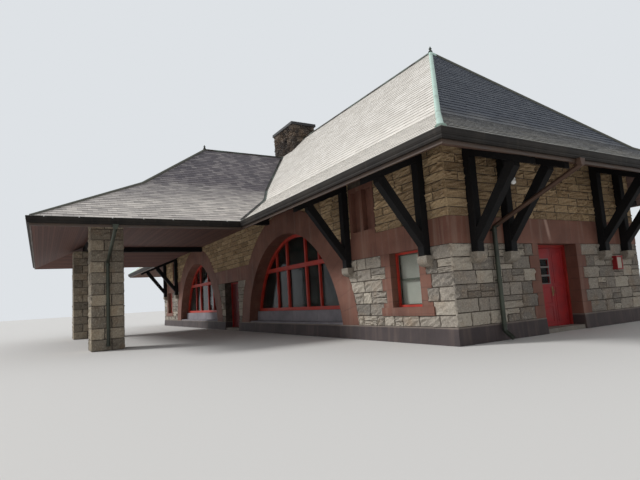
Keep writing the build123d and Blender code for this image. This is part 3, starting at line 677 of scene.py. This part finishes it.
# Eaves: brackets and beams of near-black stained pine over pale granite corbels, a sloping soffit of
# red-brown boards 90 mm wide, and a brown board behind the gutters.
def dark_timber():
    place = begin("dark_timber")
    cloud = noise(place, 0.5, 3.0)
    grain = noise(place, 0.04, 4.0)
    colour = mix(ramp(cloud, 0.3, 0.7), (13, 13, 15), (24, 23, 23))
    colour = mix(ramp(grain, 0.58, 0.75) * 0.35, colour, (58, 54, 50))
    return surface(place, grain, 0.002, colour, 0.75, shine=0.25)


def boards(name, dark, light):
    """Boards that run along the eaves."""
    place = begin(name)
    normal_x, normal_y, _ = facing(place)
    x, y, _ = axes(place)
    side = abs(normal_x) > abs(normal_y)
    step = (x * side + y * (1 - side) + 40.0) / board_width
    groove = abs((step % 1.0) - 0.5) > 0.45
    lot = place.node("ShaderNodeTexWhiteNoise", {"noise_dimensions": "1D"}, {"W": step.math("FLOOR")})
    grain = noise(place, 0.02, 4.0)
    colour = mix(lot, dark, light)
    colour = mix(ramp(grain, 0.5, 0.8) * 0.5, colour, dark)
    colour = mix(groove * 0.8, colour, (30, 24, 22))
    return surface(place, grain * 0.2 - groove, 0.006, colour, 0.7)


board_width = 0.09
timber = dark_timber()
dress(timber, "bracket_arms", "bracket_posts", "bracket_struts", "eave_purlins", "porch_beams")
dress(boards("soffit_boards", (88, 62, 54), (112, 82, 70)), "eave_soffit")
dress(boards("ceiling_boards", (84, 52, 45), (108, 69, 58)), "porch_ceiling")
dress(paint("fascia_brown", (66, 52, 44), (84, 67, 55), (50, 40, 35)), "fascia_boards")
corbel_granite = granite("corbel_granite", ((146, 138, 126), (158, 150, 137), (170, 162, 148)))


# Brackets: pine posts 230 mm square with their edges taken off, each on a dressed corbel with a rounded
# underside, and arms that run from the posts out to the edge of the eaves, under the boards.
def boards_height(out):
    """Underside of the eaves boards at a distance out from the wall."""
    return 5.05 - out * 0.95 / 2.34


def stood_round(part):
    """Copies of a part made at the wall's face and facing +X, at every bracket."""
    copies = []
    for sign in (-1, 1):
        spots = [(wall_half_length, sign * 3.475, 0), (wall_half_length, sign * 2.195, 0)]
        spots += [(sign * 15.24, -wall_half_width, -math.pi / 2), (sign * 11.55, -wall_half_width, -math.pi / 2)]
        for x, y, turn in spots:
            copies.append(copy_at(part, Matrix.Translation((x, y, 0)) @ Matrix.Rotation(turn, 4, "Z")))
    bpy.data.objects.remove(part)
    return copies + turned(copies)


post_foot, post_half, post_out, box_head = 2.291, 0.115, 0.250, 4.5
under_boards = box_head + 0.002
post = bevelled_box((0.021, -post_half, post_foot), (post_out, post_half, box_head), 0.014)
for vertex in post.data.vertices:
    if vertex.co.z > 4.0:
        vertex.co.z += boards_height(vertex.co.x) - under_boards
posts = join_all("bracket_post_timbers", stood_round(post), timber)
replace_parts(posts, "bracket_posts")

arm_half, arm_out, arm_foot = 0.105, 1.96, 4.0
arm = bevelled_box((0.10, -arm_half, arm_foot), (arm_out, arm_half, box_head), 0.012)
for vertex in arm.data.vertices:
    vertex.co.z += boards_height(vertex.co.x) - (under_boards if vertex.co.z > 4.25 else 4.17)
arms = join_all("bracket_arm_timbers", stood_round(arm), timber)
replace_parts(arms, "bracket_arms")
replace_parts(arms, "eave_purlins")

corbel_out, corbel_wide, corbel_head, wall_gap = 0.252, 0.37, 2.29, 0.001
corbel = box((0, -0.5, 0), (1, 0.5, 1))
edit(lambda: bpy.ops.mesh.subdivide(number_cuts=7))
for vertex in corbel.data.vertices:
    bend = vertex.co.x * math.pi / 2
    deep = 0.13 + 0.15 * math.cos(bend)
    out = wall_gap + (corbel_out - wall_gap) * math.sin(bend)
    vertex.co = (out, vertex.co.y * corbel_wide, corbel_head - (1 - vertex.co.z) * deep)
modify(corbel, "BEVEL", width=0.010, segments=2, limit_method="ANGLE", angle_limit=math.radians(40))
corbels = join_all("bracket_corbel_stones", stood_round(corbel), corbel_granite)
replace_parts(corbels, "bracket_corbels")


# Porch piers: two square piers of the same granite, tan-grey, that carry the beams of the porch. They
# are laid in courses of 400 mm, with the upright joints broken from one course to the next.
pier_granite = granite("pier_granite", ((112, 104, 92), (142, 132, 116), (166, 154, 134)))
dress(mortar_bed, "porch_piers")
pier_half_x, pier_half_y, pier_y, pier_x = 0.55, 0.535, -11.0, 5.2
dice = random.Random(71)
laid = []
for side in (-1, 1):
    for turn, face, half_run in faces((side * pier_x, pier_y, 0), pier_half_x, pier_half_y):
        for number, rows in enumerate(level_rows(0, 0.3975, 12)):
            cut = half_run * (2 * (0.62 if (number + turn) % 2 else 0.40) - 1)
            for span in ((-half_run - past_corner, cut), (cut, half_run + past_corner)):
                laid.append(place_block(blocks, dice, face, span, rows, 1.0, 0.8))
join_all("pier_stones", laid, pier_granite)


# Roofs: slates 300 mm wide laid to a gauge of 220 mm, nailed to boards on the slopes. Each slate lies
# on the two below it and its lower edge stands up a little, the faces that turn down darkened as
# painted shade and dirt. The long slopes are painted pale as painted sunlight and sheen, the ends
# dark blue-grey as painted shade and painted sky reflection, and the porch is grey. All are painted
# paler along the eaves as painted light on the flatter foot of each slope, with painted highlights
# streaked along the courses.
def slate_finish(name, dark, middle, pale, cloudy, lit_foot_height, lit_foot_colour):
    place = begin(name)
    tone = place.node("ShaderNodeAttribute", {"attribute_name": "tone"}, output="Fac")
    cloud = noise(place, 1.6, 4.0, 0.6)
    grain = noise(place, 0.05, 4.0, 0.7)
    mixed = tone * (1 - cloudy) + ramp(cloud, 0.3, 0.7) * cloudy
    colour = mix(ramp(mixed, 0.5, 1.0), mix(ramp(mixed, 0.0, 0.5), dark, middle), pale)
    colour = mix(ramp(grain, 0.5, 0.75) * 0.35, colour, dark)
    # Painted light: a band along the eaves is painted paler where the flatter foot of each slope is lit, with painted
    # highlights streaked along the courses.
    level = axes(place)[2] + cloud * 1.8
    streaks = ramp(noise(stretch(place, 0.12, 0.6, 6.0), 0.5, 3.0), 0.35, 0.65)
    band = 1 - ramp(level, lit_foot_height, lit_foot_height + 1.5)
    colour = mix(band * (streaks * 0.35 + tone * 0.3 + 0.35), colour, lit_foot_colour)
    # Painted shade and dirt: faces that turn down, the slates' lower edges, are darkened.
    colour = mix((facing(place)[2] < 0.2) * 0.4, colour, (56, 53, 52))
    return surface(place, grain * 0.5 + tone * 0.5, 0.004, colour, 0.58, shine=0.22)


def slate_bed():
    place = begin("slate_bed")
    cloud = noise(place, 0.4, 3.0)
    colour = mix(cloud, (92, 86, 82), (60, 58, 60))
    return surface(place, cloud, 0.002, colour, 0.8)


slate_width, slate_gauge, slate_thick, slate_gap = 0.30, 0.22, 0.0075, 0.005
eave_out, eave_z, break_out, break_z = 2.34, 4.40, 0.23, 5.80
eave_x, eave_y = wall_half_length + eave_out, wall_half_width + eave_out
flare = eave_out - break_out
porch_half, porch_front = 7.925, -13.415
main_breaks = ((0, eave_z), (flare, break_z), (eave_y, 10.575))
porch_breaks = ((0, eave_z), (4.0, 6.64), (porch_half, 9.70))


def delete_faces(piece, wanted, kind="FACE"):
    """Deletes the faces for which wanted(face) is true."""
    pick(piece)
    bpy.ops.object.mode_set(mode="EDIT")
    bpy.ops.mesh.select_all(action="DESELECT")
    bpy.ops.object.mode_set(mode="OBJECT")
    for face in piece.data.polygons:
        face.select = wanted(face)
    bpy.ops.object.mode_set(mode="EDIT")
    bpy.ops.mesh.delete(type=kind)
    bpy.ops.object.mode_set(mode="OBJECT")


def slate_field(seed, origin, run, rise):
    """A field of slates on a slope; run goes along the eave and rise straight up the slope."""
    dice = np.random.default_rng(seed)
    columns = math.ceil(run.length / slate_width) + 1
    rows = 2 * math.ceil((rise.length - 0.02) / slate_gauge / 2)
    slate = box((0, 0, 0), (1, 1, 1))
    delete_faces(slate, lambda face: face.normal.z < -0.5 or face.normal.y > 0.5, "ONLY_FACE")
    size = (slate_width - slate_gap, slate_gauge * 1.12, slate_thick)
    edit(lambda: bpy.ops.transform.resize(value=size, center_override=(0, 0, 0)))
    for vertex in slate.data.vertices:
        vertex.co.z += slate_thick * (1.25 if vertex.co.y < 0.01 else -0.6)
    corners = len(slate.data.vertices)
    bond = (-slate_width / 2, slate_gauge, 0)
    for step, times in (((slate_width, 0, 0), columns), (bond, 2), ((0, 2 * slate_gauge, 0), rows // 2)):
        modify(slate, "ARRAY", use_relative_offset=False, use_constant_offset=True,
               constant_offset_displace=step, count=times)
    count = columns * rows
    points = corners_of(slate).reshape(count, corners, 3)
    shift = dice.uniform(-0.035, 0.035, (rows, columns + 1))
    left = points[:, :, 0] < points[:, :, 0].mean(axis=1, keepdims=True)
    points[:, :, 0] += np.where(left, shift[:, :-1].reshape(-1, 1), shift[:, 1:].reshape(-1, 1))
    points[:, :, 2] += dice.uniform(0, 0.003, (count, 1))
    points[:, :, 1] += dice.uniform(-0.006, 0.006, (count, 1))
    set_corners(slate, points)
    set_tone(slate, np.repeat(dice.random(count), corners))
    run, rise = run.normalized(), rise.normalized()
    lay = Matrix((run, rise, run.cross(rise))).transposed().to_4x4()
    slate.matrix_world = Matrix.Translation(origin) @ lay
    bpy.ops.object.transform_apply()
    return slate


def cut_away(piece, point, normal):
    """Cuts off what lies on the side of the plane that normal points to."""
    pick(piece)
    edit(lambda: bpy.ops.mesh.bisect(plane_co=point, plane_no=normal, clear_outer=True))


def main_height(y):
    """Height of the main roof's front or back slope."""
    return float(np.interp(eave_y - abs(y), *zip(*main_breaks)))


def porch_height(x, y):
    return float(np.interp(min(porch_half - abs(x), y - porch_front), *zip(*porch_breaks), left=-1.0))


def under_porch(face):
    return porch_height(face.center.x, face.center.y) > main_height(face.center.y) + 0.12


def under_main(face):
    return main_height(face.center.y) > porch_height(face.center.x, face.center.y) + 0.12


def slope(name, seed, left, right, breaks, material, hips=(1, -1), hidden=None):
    """Slates a slope above its eave, which runs from left to right; hips are the mitred ends, -1 left
    and 1 right."""
    left, right = Vector((*left, 0)), Vector((*right, 0))
    along = (right - left).normalized()
    inward = Vector((-along.y, along.x, 0))
    fields = []
    for number, ((near, low), (far, high)) in enumerate(zip(breaks, breaks[1:])):
        rise = inward * (far - near) + Vector((0, 0, high - low))
        start = left + inward * near + Vector((0, 0, low))
        field = slate_field(seed + number, start, right - left, rise)
        cut_away(field, start + rise, rise)
        fields.append(field)
    piece = join_all(name, fields, material)
    for end in hips:
        cut_away(piece, right if end > 0 else left, inward + along * end)
    if hidden is not None:
        delete_faces(piece, hidden)


# Lit and shaded copies of one slate: the long slopes painted pale as painted sunlight and sheen, the ends dark
# blue-grey as painted shade; each last colour is a painted lit strip along the eaves.
sunlit_pale_slate = slate_finish("sunlit_pale_slate", (205, 199, 190), (218, 213, 204), (231, 226, 218), 0.25,
                          6.2, (238, 232, 222))
shaded_blue_slate = slate_finish("shaded_blue_slate", (46, 52, 64), (58, 64, 76), (76, 81, 90), 0.25, 5.6, (144, 140, 130))
porch_slate = slate_finish("porch_slate", (84, 80, 86), (112, 106, 110), (152, 146, 145), 0.3,
                           6.3, (228, 221, 212))
near_left, near_right, far_right, far_left = [
    (x * eave_x, y * eave_y) for x, y in ((-1, -1), (1, -1), (1, 1), (-1, 1))
]
slope("front_slates", 300, near_left, near_right, main_breaks, sunlit_pale_slate, hidden=under_porch)
slope("back_slates", 310, far_right, far_left, main_breaks, sunlit_pale_slate)
slope("right_end_slates", 320, near_right, far_right, main_breaks, shaded_blue_slate)
slope("left_end_slates", 330, far_left, near_left, main_breaks, shaded_blue_slate)
porch_left, porch_right, porch_back = (-porch_half, porch_front), (porch_half, porch_front), 0.5
slope("porch_front_slates", 340, porch_left, porch_right, porch_breaks, porch_slate)
slope("porch_right_slates", 350, porch_right, (porch_half, porch_back), porch_breaks, porch_slate, (-1,), under_main)
slope("porch_left_slates", 360, (-porch_half, porch_back), porch_left, porch_breaks, porch_slate, (1,), under_main)
dress(slate_bed(), "main_roof_front", "main_roof_back", "main_roof_left", "main_roof_right", "porch_roof")


# Roof metal: hip and ridge rolls of sheet copper, pale green on the hips of the main roof's front and
# dark elsewhere, spreading shoes at the feet of the hips, and pointed finials. The dark of the back
# hips is painted shade.
def copper(name, green, brown, share, porch=None):
    place = begin(name)
    cloud = noise(place, 0.5, 4.0)
    grain = noise(place, 0.03, 3.0)
    colour = mix(ramp(cloud * 0.7 + grain * 0.3, share - 0.12, share + 0.12), brown, green)
    if porch is not None:
        x, y, _ = axes(place)
        # Dark on the porch's hips, and on the back hips (y > 0.1) as painted shade.
        colour = mix((abs(x) < 8.2).math("MAXIMUM", y > 0.1), colour, porch)
    return surface(place, grain, 0.001, colour, 0.6, metal=ramp(cloud, 1.2, 0.2))


hip_copper = copper("hip_copper", (184, 206, 195), (120, 124, 110), 0.36, (92, 92, 84))
ridge_copper = copper("ridge_copper", (92, 104, 96), (58, 52, 48), 0.55)
dress(hip_copper, "hip_rolls")
dress(ridge_copper, "ridge_rolls", "finials")


def hip_shoe(foot, head):
    """The spreading foot of a hip roll, dressed down over the slates at the corner."""
    foot, rise, tall = Vector(foot), (Vector(head) - Vector(foot)).normalized(), 0.62
    shoe = add(bpy.ops.mesh.primitive_cone_add, vertices=24, radius1=0.118, radius2=0.073, depth=tall)
    edit(lambda: bpy.ops.mesh.subdivide(number_cuts=3))
    for vertex in shoe.data.vertices:
        down = (tall / 2 - vertex.co.z) / tall
        spread = 1 - 0.25 * math.sin(math.pi * down)
        vertex.co.x *= spread
        vertex.co.y *= spread * (1 - 0.35 * down)
    shoe.matrix_world = Matrix.Translation(foot + rise * 0.33) @ rise.to_track_quat("Z", "Y").to_matrix().to_4x4()
    bpy.ops.object.shade_smooth_by_angle(angle=math.radians(40))
    return shoe


shoes = []
for side_x in (-1, 1):
    for side_y in (-1, 1):
        shoes.append(hip_shoe((side_x * (eave_x - 0.05), side_y * (eave_y - 0.05), eave_z + 0.03),
                              (side_x * (eave_x - flare), side_y * (eave_y - flare), break_z)))
join_all("hip_shoes", shoes, hip_copper)


# Valleys: strips of dark sheet metal where the porch roof runs into the main roof, half of each strip
# on either slope, dressed over the slates.
def sheet(places, columns, rows):
    """A sheet with its corners at the places, row by row."""
    part = add(bpy.ops.mesh.primitive_grid_add, x_subdivisions=columns, y_subdivisions=rows, size=1)
    set_corners(part, places)
    return part


def valley_strip(side):
    """The strip on one side of the porch, found where both slopes have the same height."""
    steps, half_strip, over_slates = 24, 0.13, 0.036
    places = []
    for step in range(steps + 1):
        y = -eave_y + 0.02 + (eave_y - 0.90) * step / steps
        near, far = 0.0, porch_half - 0.001
        for _ in range(40):
            middle = (near + far) / 2
            if porch_height(middle, y) > main_height(y):
                near = middle
            else:
                far = middle
        for across in (-half_strip, 0.0, half_strip):
            x = near + across
            height = max(porch_height(min(x, porch_half - 0.002), y), main_height(y))
            places += [side * x, y, height + over_slates]
    strip = sheet(places, 2, steps)
    modify(strip, "SOLIDIFY", thickness=0.012)
    edit(lambda: bpy.ops.mesh.normals_make_consistent(inside=False))
    return strip


join_all("valley_strips", [valley_strip(-1), valley_strip(1)], ridge_copper)


# Gutters and rain pipes: near-black moulded gutters along the whole eaves, with pale clips on the porch
# only. The round pipes are bronze green, brown on the slanting runs at the ends of the house, each with
# collars, a tapered box under the gutter and, at the ends of the house, a shoe kicked out at the foot.
def bronze():
    place = begin("dark_bronze")
    cloud = noise(place, 0.6, 4.0)
    grain = noise(place, 0.02, 3.0)
    colour = mix(ramp(cloud, 0.35, 0.7), (46, 50, 42), (72, 78, 66))
    x, _, z = axes(place)
    colour = mix((z > 2.97) * (abs(x) > 16.2), colour, mix(cloud, (58, 42, 34), (92, 66, 50)))
    return surface(place, grain, 0.001, colour, 0.5, metal=0.35)


def gutter_metal():
    place = begin("gutter_metal")
    cloud = noise(place, 0.7, 4.0)
    drips = noise(stretch(place, 4.0, 4.0, 0.6), 0.5, 3.0)
    height = axes(place)[2]
    colour = mix(ramp(cloud, 0.35, 0.7), (26, 23, 21), (45, 40, 35))
    colour = mix(ramp(drips, 0.58, 0.75) * 0.4, colour, (66, 60, 52))
    # Painted highlight: the top edge of the gutter's lip is painted pale.
    colour = mix((height > 4.392) * 0.8, colour, (160, 160, 150))
    return surface(place, cloud, 0.001, colour, 0.6, shine=0.2)


def eave_ring(reach, height):
    """The eight corners of the whole eaves line at a reach beyond the fascia, and the first again."""
    x, y, px, py = eave_x + reach, eave_y + reach, porch_half + reach, -porch_front + reach
    plan = [(-x, y), (x, y), (x, -y), (px, -y), (px, -py), (-px, -py), (-px, -y), (-x, -y)]
    return [(a, b, height) for a, b in plan + plan[:1]]


def eave_moulding(profile):
    """Runs a closed profile of (reach, height) along the whole eaves line, mitred at the corners."""
    run = sheet([eave_ring(reach, height) for reach, height in profile + profile[:1]], 8, len(profile))
    edit(
        lambda: bpy.ops.mesh.remove_doubles(threshold=0.0001),
        lambda: bpy.ops.mesh.normals_make_consistent(inside=False),
    )
    return run


gutter_profile = [
    (0.001, 4.399), (0.001, 4.181), (0.070, 4.181), (0.073, 4.190), (0.073, 4.203), (0.083, 4.210), (0.083, 4.226),
    (0.077, 4.233), (0.077, 4.256), (0.088, 4.264), (0.090, 4.282), (0.097, 4.300), (0.100, 4.345), (0.100, 4.362),
    (0.105, 4.368), (0.105, 4.394), (0.099, 4.400), (0.088, 4.400), (0.084, 4.322), (0.012, 4.318), (0.010, 4.399),
]
bronze_green = bronze()
gutters = join_all("moulded_gutters", [eave_moulding(gutter_profile)], gutter_metal())
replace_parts(gutters, "gutters")

clips = []
clip_low, clip_high, clip_wide, clip_deep = 4.368, 4.402, 0.016, 0.010
ring = eave_ring(0.102, 4.40)[3:7]
for (x0, y0, _), (x1, y1, _) in zip(ring, ring[1:]):
    count = round(math.hypot(x1 - x0, y1 - y0))
    half_x, half_y = (clip_wide, clip_deep) if abs(x1 - x0) > abs(y1 - y0) else (clip_deep, clip_wide)
    for number in range(count):
        share = (number + 0.5) / count
        x, y = x0 + (x1 - x0) * share, y0 + (y1 - y0) * share
        clips.append(bevelled_box((x - half_x, y - half_y, clip_low), (x + half_x, y + half_y, clip_high), 0.003, 1))
zinc = paint("pale_zinc", (196, 198, 196), (222, 222, 218), (150, 150, 146))
join_all("gutter_clips", clips, zinc)


def pipe_band(x, y, height):
    """A socket collar with a bead at each edge, round an upright pipe."""
    band = add(bpy.ops.mesh.primitive_cylinder_add, vertices=24, radius=0.070, depth=0.075, location=(x, y, height))
    edit(lambda: bpy.ops.mesh.bevel(offset=0.004, segments=2))
    return band


def outlet_box(x, y):
    """The tapered box that gathers the water under the gutter."""
    outlet = box((x - 0.065, y - 0.10, 4.015), (x + 0.065, y + 0.10, 4.185))
    for vertex in outlet.data.vertices:
        if vertex.co.z < 4.10:
            vertex.co.x = x + (vertex.co.x - x) * 0.86
            vertex.co.y = y + (vertex.co.y - y) * 0.60
    modify(outlet, "BEVEL", width=0.008, segments=2)
    return outlet


def bent_pipe(*places):
    """A round pipe of straight runs with short bends between them."""
    places = [Vector(place) for place in places]
    route, bend_length = places[:1], 0.10
    for before, bend, after in zip(places, places[1:], places[2:]):
        entry, leave = (before - bend).normalized(), (after - bend).normalized()
        route += [bend + entry * bend_length, bend, bend + leave * bend_length]
    route.append(places[-1])
    line = bpy.data.curves.new("pipe", "CURVE")
    line.dimensions = "3D"
    spline = line.splines.new("NURBS")
    spline.points.add(len(route) - 1)
    for point, place in zip(spline.points, route):
        point.co = (*place, 1)
    spline.order_u = 3
    spline.use_endpoint_u = True
    line.resolution_u = 3
    line.bevel_depth = 0.060
    line.bevel_resolution = 6
    line.use_fill_caps = True
    pipe = bpy.data.objects.new("pipe", line)
    bpy.context.scene.collection.objects.link(pipe)
    pick(pipe)
    bpy.ops.object.convert(target="MESH")
    return bpy.context.object


end_pipe_x, end_pipe_y, end_top_x = wall_half_length + 0.132, -wall_half_width + 1.5, eave_x + 0.066
end_top_y = end_pipe_y + 0.4
pier_pipe_x, pier_top_x = pier_x + pier_half_x + 0.072, porch_half + 0.066
slant_top, pipe_top = 4.04, 4.17
pipes, fittings = [], []
for side in (-1, 1):
    x, y, top_x = side * end_pipe_x, end_pipe_y, side * end_top_x
    pipes.append(bent_pipe((x + side * 0.24, y, 0.075), (x, y, 0.25), (x, y, 2.95),
                           (top_x, end_top_y, slant_top), (top_x, end_top_y, pipe_top)))
    x, y, top_x = side * pier_pipe_x, pier_y, side * pier_top_x
    pipes.append(bent_pipe((x, y, 0.15), (x, y, 3.15), (top_x, y, slant_top), (top_x, y, pipe_top)))
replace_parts(join_all("rain_pipes", pipes, bronze_green), "downpipes")

for side in (-1, 1):
    for x, y, heights in ((end_pipe_x, end_pipe_y, (0.40, 1.55, 2.86)), (pier_pipe_x, pier_y, (0.20, 1.65, 3.06))):
        fittings += [pipe_band(side * x, y, height) for height in heights]
        near, far = sorted((side * (x - 0.075), side * x))
        for height in heights[1:]:
            fittings.append(bevelled_box((near, y - 0.075, height - 0.015), (far, y + 0.075, height + 0.015), 0.003))
    fittings += [outlet_box(side * end_top_x, end_top_y), outlet_box(side * pier_top_x, pier_y)]
join_all("pipe_fittings", fittings, bronze_green)


# Chimney: rough brown-grey fieldstones of all sizes, under a thin slab covered by a turned-down sheet of
# dark metal.
dress(mortar_bed, "chimney")
rubble = [rock_block(seed, 0.085, 0.075) for seed in range(20, 26)]
field_stone = granite("field_stone", ((40, 34, 33), (64, 55, 50), (118, 105, 93)))
chimney_half_x, chimney_half_y, chimney_foot = 1.2, 0.7, 9.35
dice = random.Random(90)
laid = []
for _, face, half_run in faces((0, 0, 0), chimney_half_x, chimney_half_y):
    whole = [(-half_run - past_corner, half_run + past_corner)]
    laid += lay_stones(rubble, dice, face, level_rows(chimney_foot, 0.259, 8), lambda low, high: whole,
                       (0.22, 0.55), 0.9, 0.35)
join_all("chimney_stones", laid, field_stone)
lid_metal = paint("lid_metal", (26, 26, 28), (42, 41, 41), (20, 20, 21))
lid_x, lid_y = chimney_half_x + 0.10, chimney_half_y + 0.10
lid = bevelled_box((-lid_x, -lid_y, 11.36), (lid_x, lid_y, 11.53), 0.02)
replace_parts(join_all("chimney_lid", [lid], lid_metal), "chimney_cap")
for block in blocks + rubble:
    bpy.data.objects.remove(block)


# Notice box: a shallow box of red sheet metal fixed to the wall of the right end. A thin lid lies over
# it, and a pale board stands behind the open frame of its door.
box_back, box_front, box_y, box_half = wall_half_length + 0.001, wall_half_length + 0.16, 2.92, 0.165
box_low, box_high = 1.70, 2.12
lid_half, board_half, door_out = 0.18, 0.125, -box_front + 0.012
case = bevelled_box((box_back, box_y - box_half, box_low), (box_front - 0.02, box_y + box_half, box_high), 0.006)
door = lattice((box_y - box_half, door_out, box_low), (box_y + box_half, door_out, box_high), math.pi / 2,
               1, 1, 0.034, 0.022)
cover = bevelled_box((box_back, box_y - lid_half, box_high - 0.012),
                     (box_front + 0.008, box_y + lid_half, box_high + 0.012), 0.005)
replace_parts(join_all("notice_case", [case, door, cover], door_red), "notice_box")
board = bevelled_box((box_front - 0.022, box_y - board_half, box_low + 0.04),
                     (box_front - 0.016, box_y + board_half, box_high - 0.04), 0.002)
pale_board = paint("pale_board", (168, 158, 142), (186, 176, 160), (140, 130, 116))
join_all("notice_board", [board], pale_board)


# Camera dome: a small dome of white plastic on a round foot, held by a short bar to the side of the
# first strut of the right end.
dome_x, dome_y, dome_z, foot_z = 17.34, -3.335, 3.84, 3.91
dome = add(bpy.ops.mesh.primitive_uv_sphere_add, segments=24, ring_count=12, radius=0.062,
           location=(dome_x, dome_y, dome_z))
foot = add(bpy.ops.mesh.primitive_cylinder_add, vertices=24, radius=0.048, depth=0.05,
           location=(dome_x, dome_y, foot_z))
bar = bevelled_box((dome_x - 0.04, -3.40, 3.90), (dome_x + 0.04, -3.30, 3.93), 0.004)
white_plastic = paint("white_plastic", (206, 206, 202), (222, 222, 218), (170, 168, 162))
join_all("camera_dome", [dome, foot, bar], white_plastic)


# Floor, light and camera: a plain pale floor, a soft lamp from the road side and an even pale sky.
def stage_floor():
    place = begin("stage_floor")
    return surface(place, noise(place, 2.0), 0.0, tint(214, 212, 208), 0.95)


floor = add(bpy.ops.mesh.primitive_plane_add, size=600, location=(0, 0, -0.005))
floor.name = "floor"
floor.data.materials.append(stage_floor())

world = bpy.data.worlds.new("studio")
bpy.context.scene.world = world
world.use_nodes = True
world.node_tree.nodes.clear()
sky = Shade(world)
seen = sky.node("ShaderNodeLightPath", output="Is Camera Ray")
for ray in ("Is Glossy Ray", "Is Transmission Ray"):
    seen = seen.math("MAXIMUM", sky.node("ShaderNodeLightPath", output=ray))
sky_light = sky.node("ShaderNodeBackground", inputs={"Color": tint(236, 238, 242), "Strength": 0.62})
backdrop = sky.node("ShaderNodeBackground", inputs={"Color": tint(222, 226, 230), "Strength": 1.0})
both = sky.node("ShaderNodeMixShader", inputs={0: seen, 1: sky_light, 2: backdrop})
sky.node("ShaderNodeOutputWorld", inputs={"Surface": both})

bpy.ops.object.light_add(type="SUN")
lamp = bpy.context.object
lamp.data.energy = 2.3
lamp.data.angle = math.radians(12)
to_lamp = Vector((-0.50, -0.72, 0.62))
lamp.rotation_euler = to_lamp.to_track_quat("Z", "Y").to_euler()

camera_data = bpy.data.cameras.new("camera")
camera_data.sensor_width = 36.0
camera_data.lens = 27.05
camera_data.clip_end = 2000
camera = bpy.data.objects.new("camera", camera_data)
bpy.context.scene.collection.objects.link(camera)
bpy.context.scene.camera = camera
eye = (24.701, -13.098, 1.350)
forward = Vector((-0.85647, 0.50171, 0.12145)).normalized()
level_right = forward.cross(Vector((0, 0, 1))).normalized()
level_up = level_right.cross(forward)
roll = math.radians(-3.591)
right = level_right * math.cos(roll) + level_up * math.sin(roll)
up = right.cross(forward)
camera.matrix_world = Matrix.Translation(eye) @ Matrix((right, up, -forward)).transposed().to_4x4()
bpy.context.scene.view_settings.view_transform = "Standard"
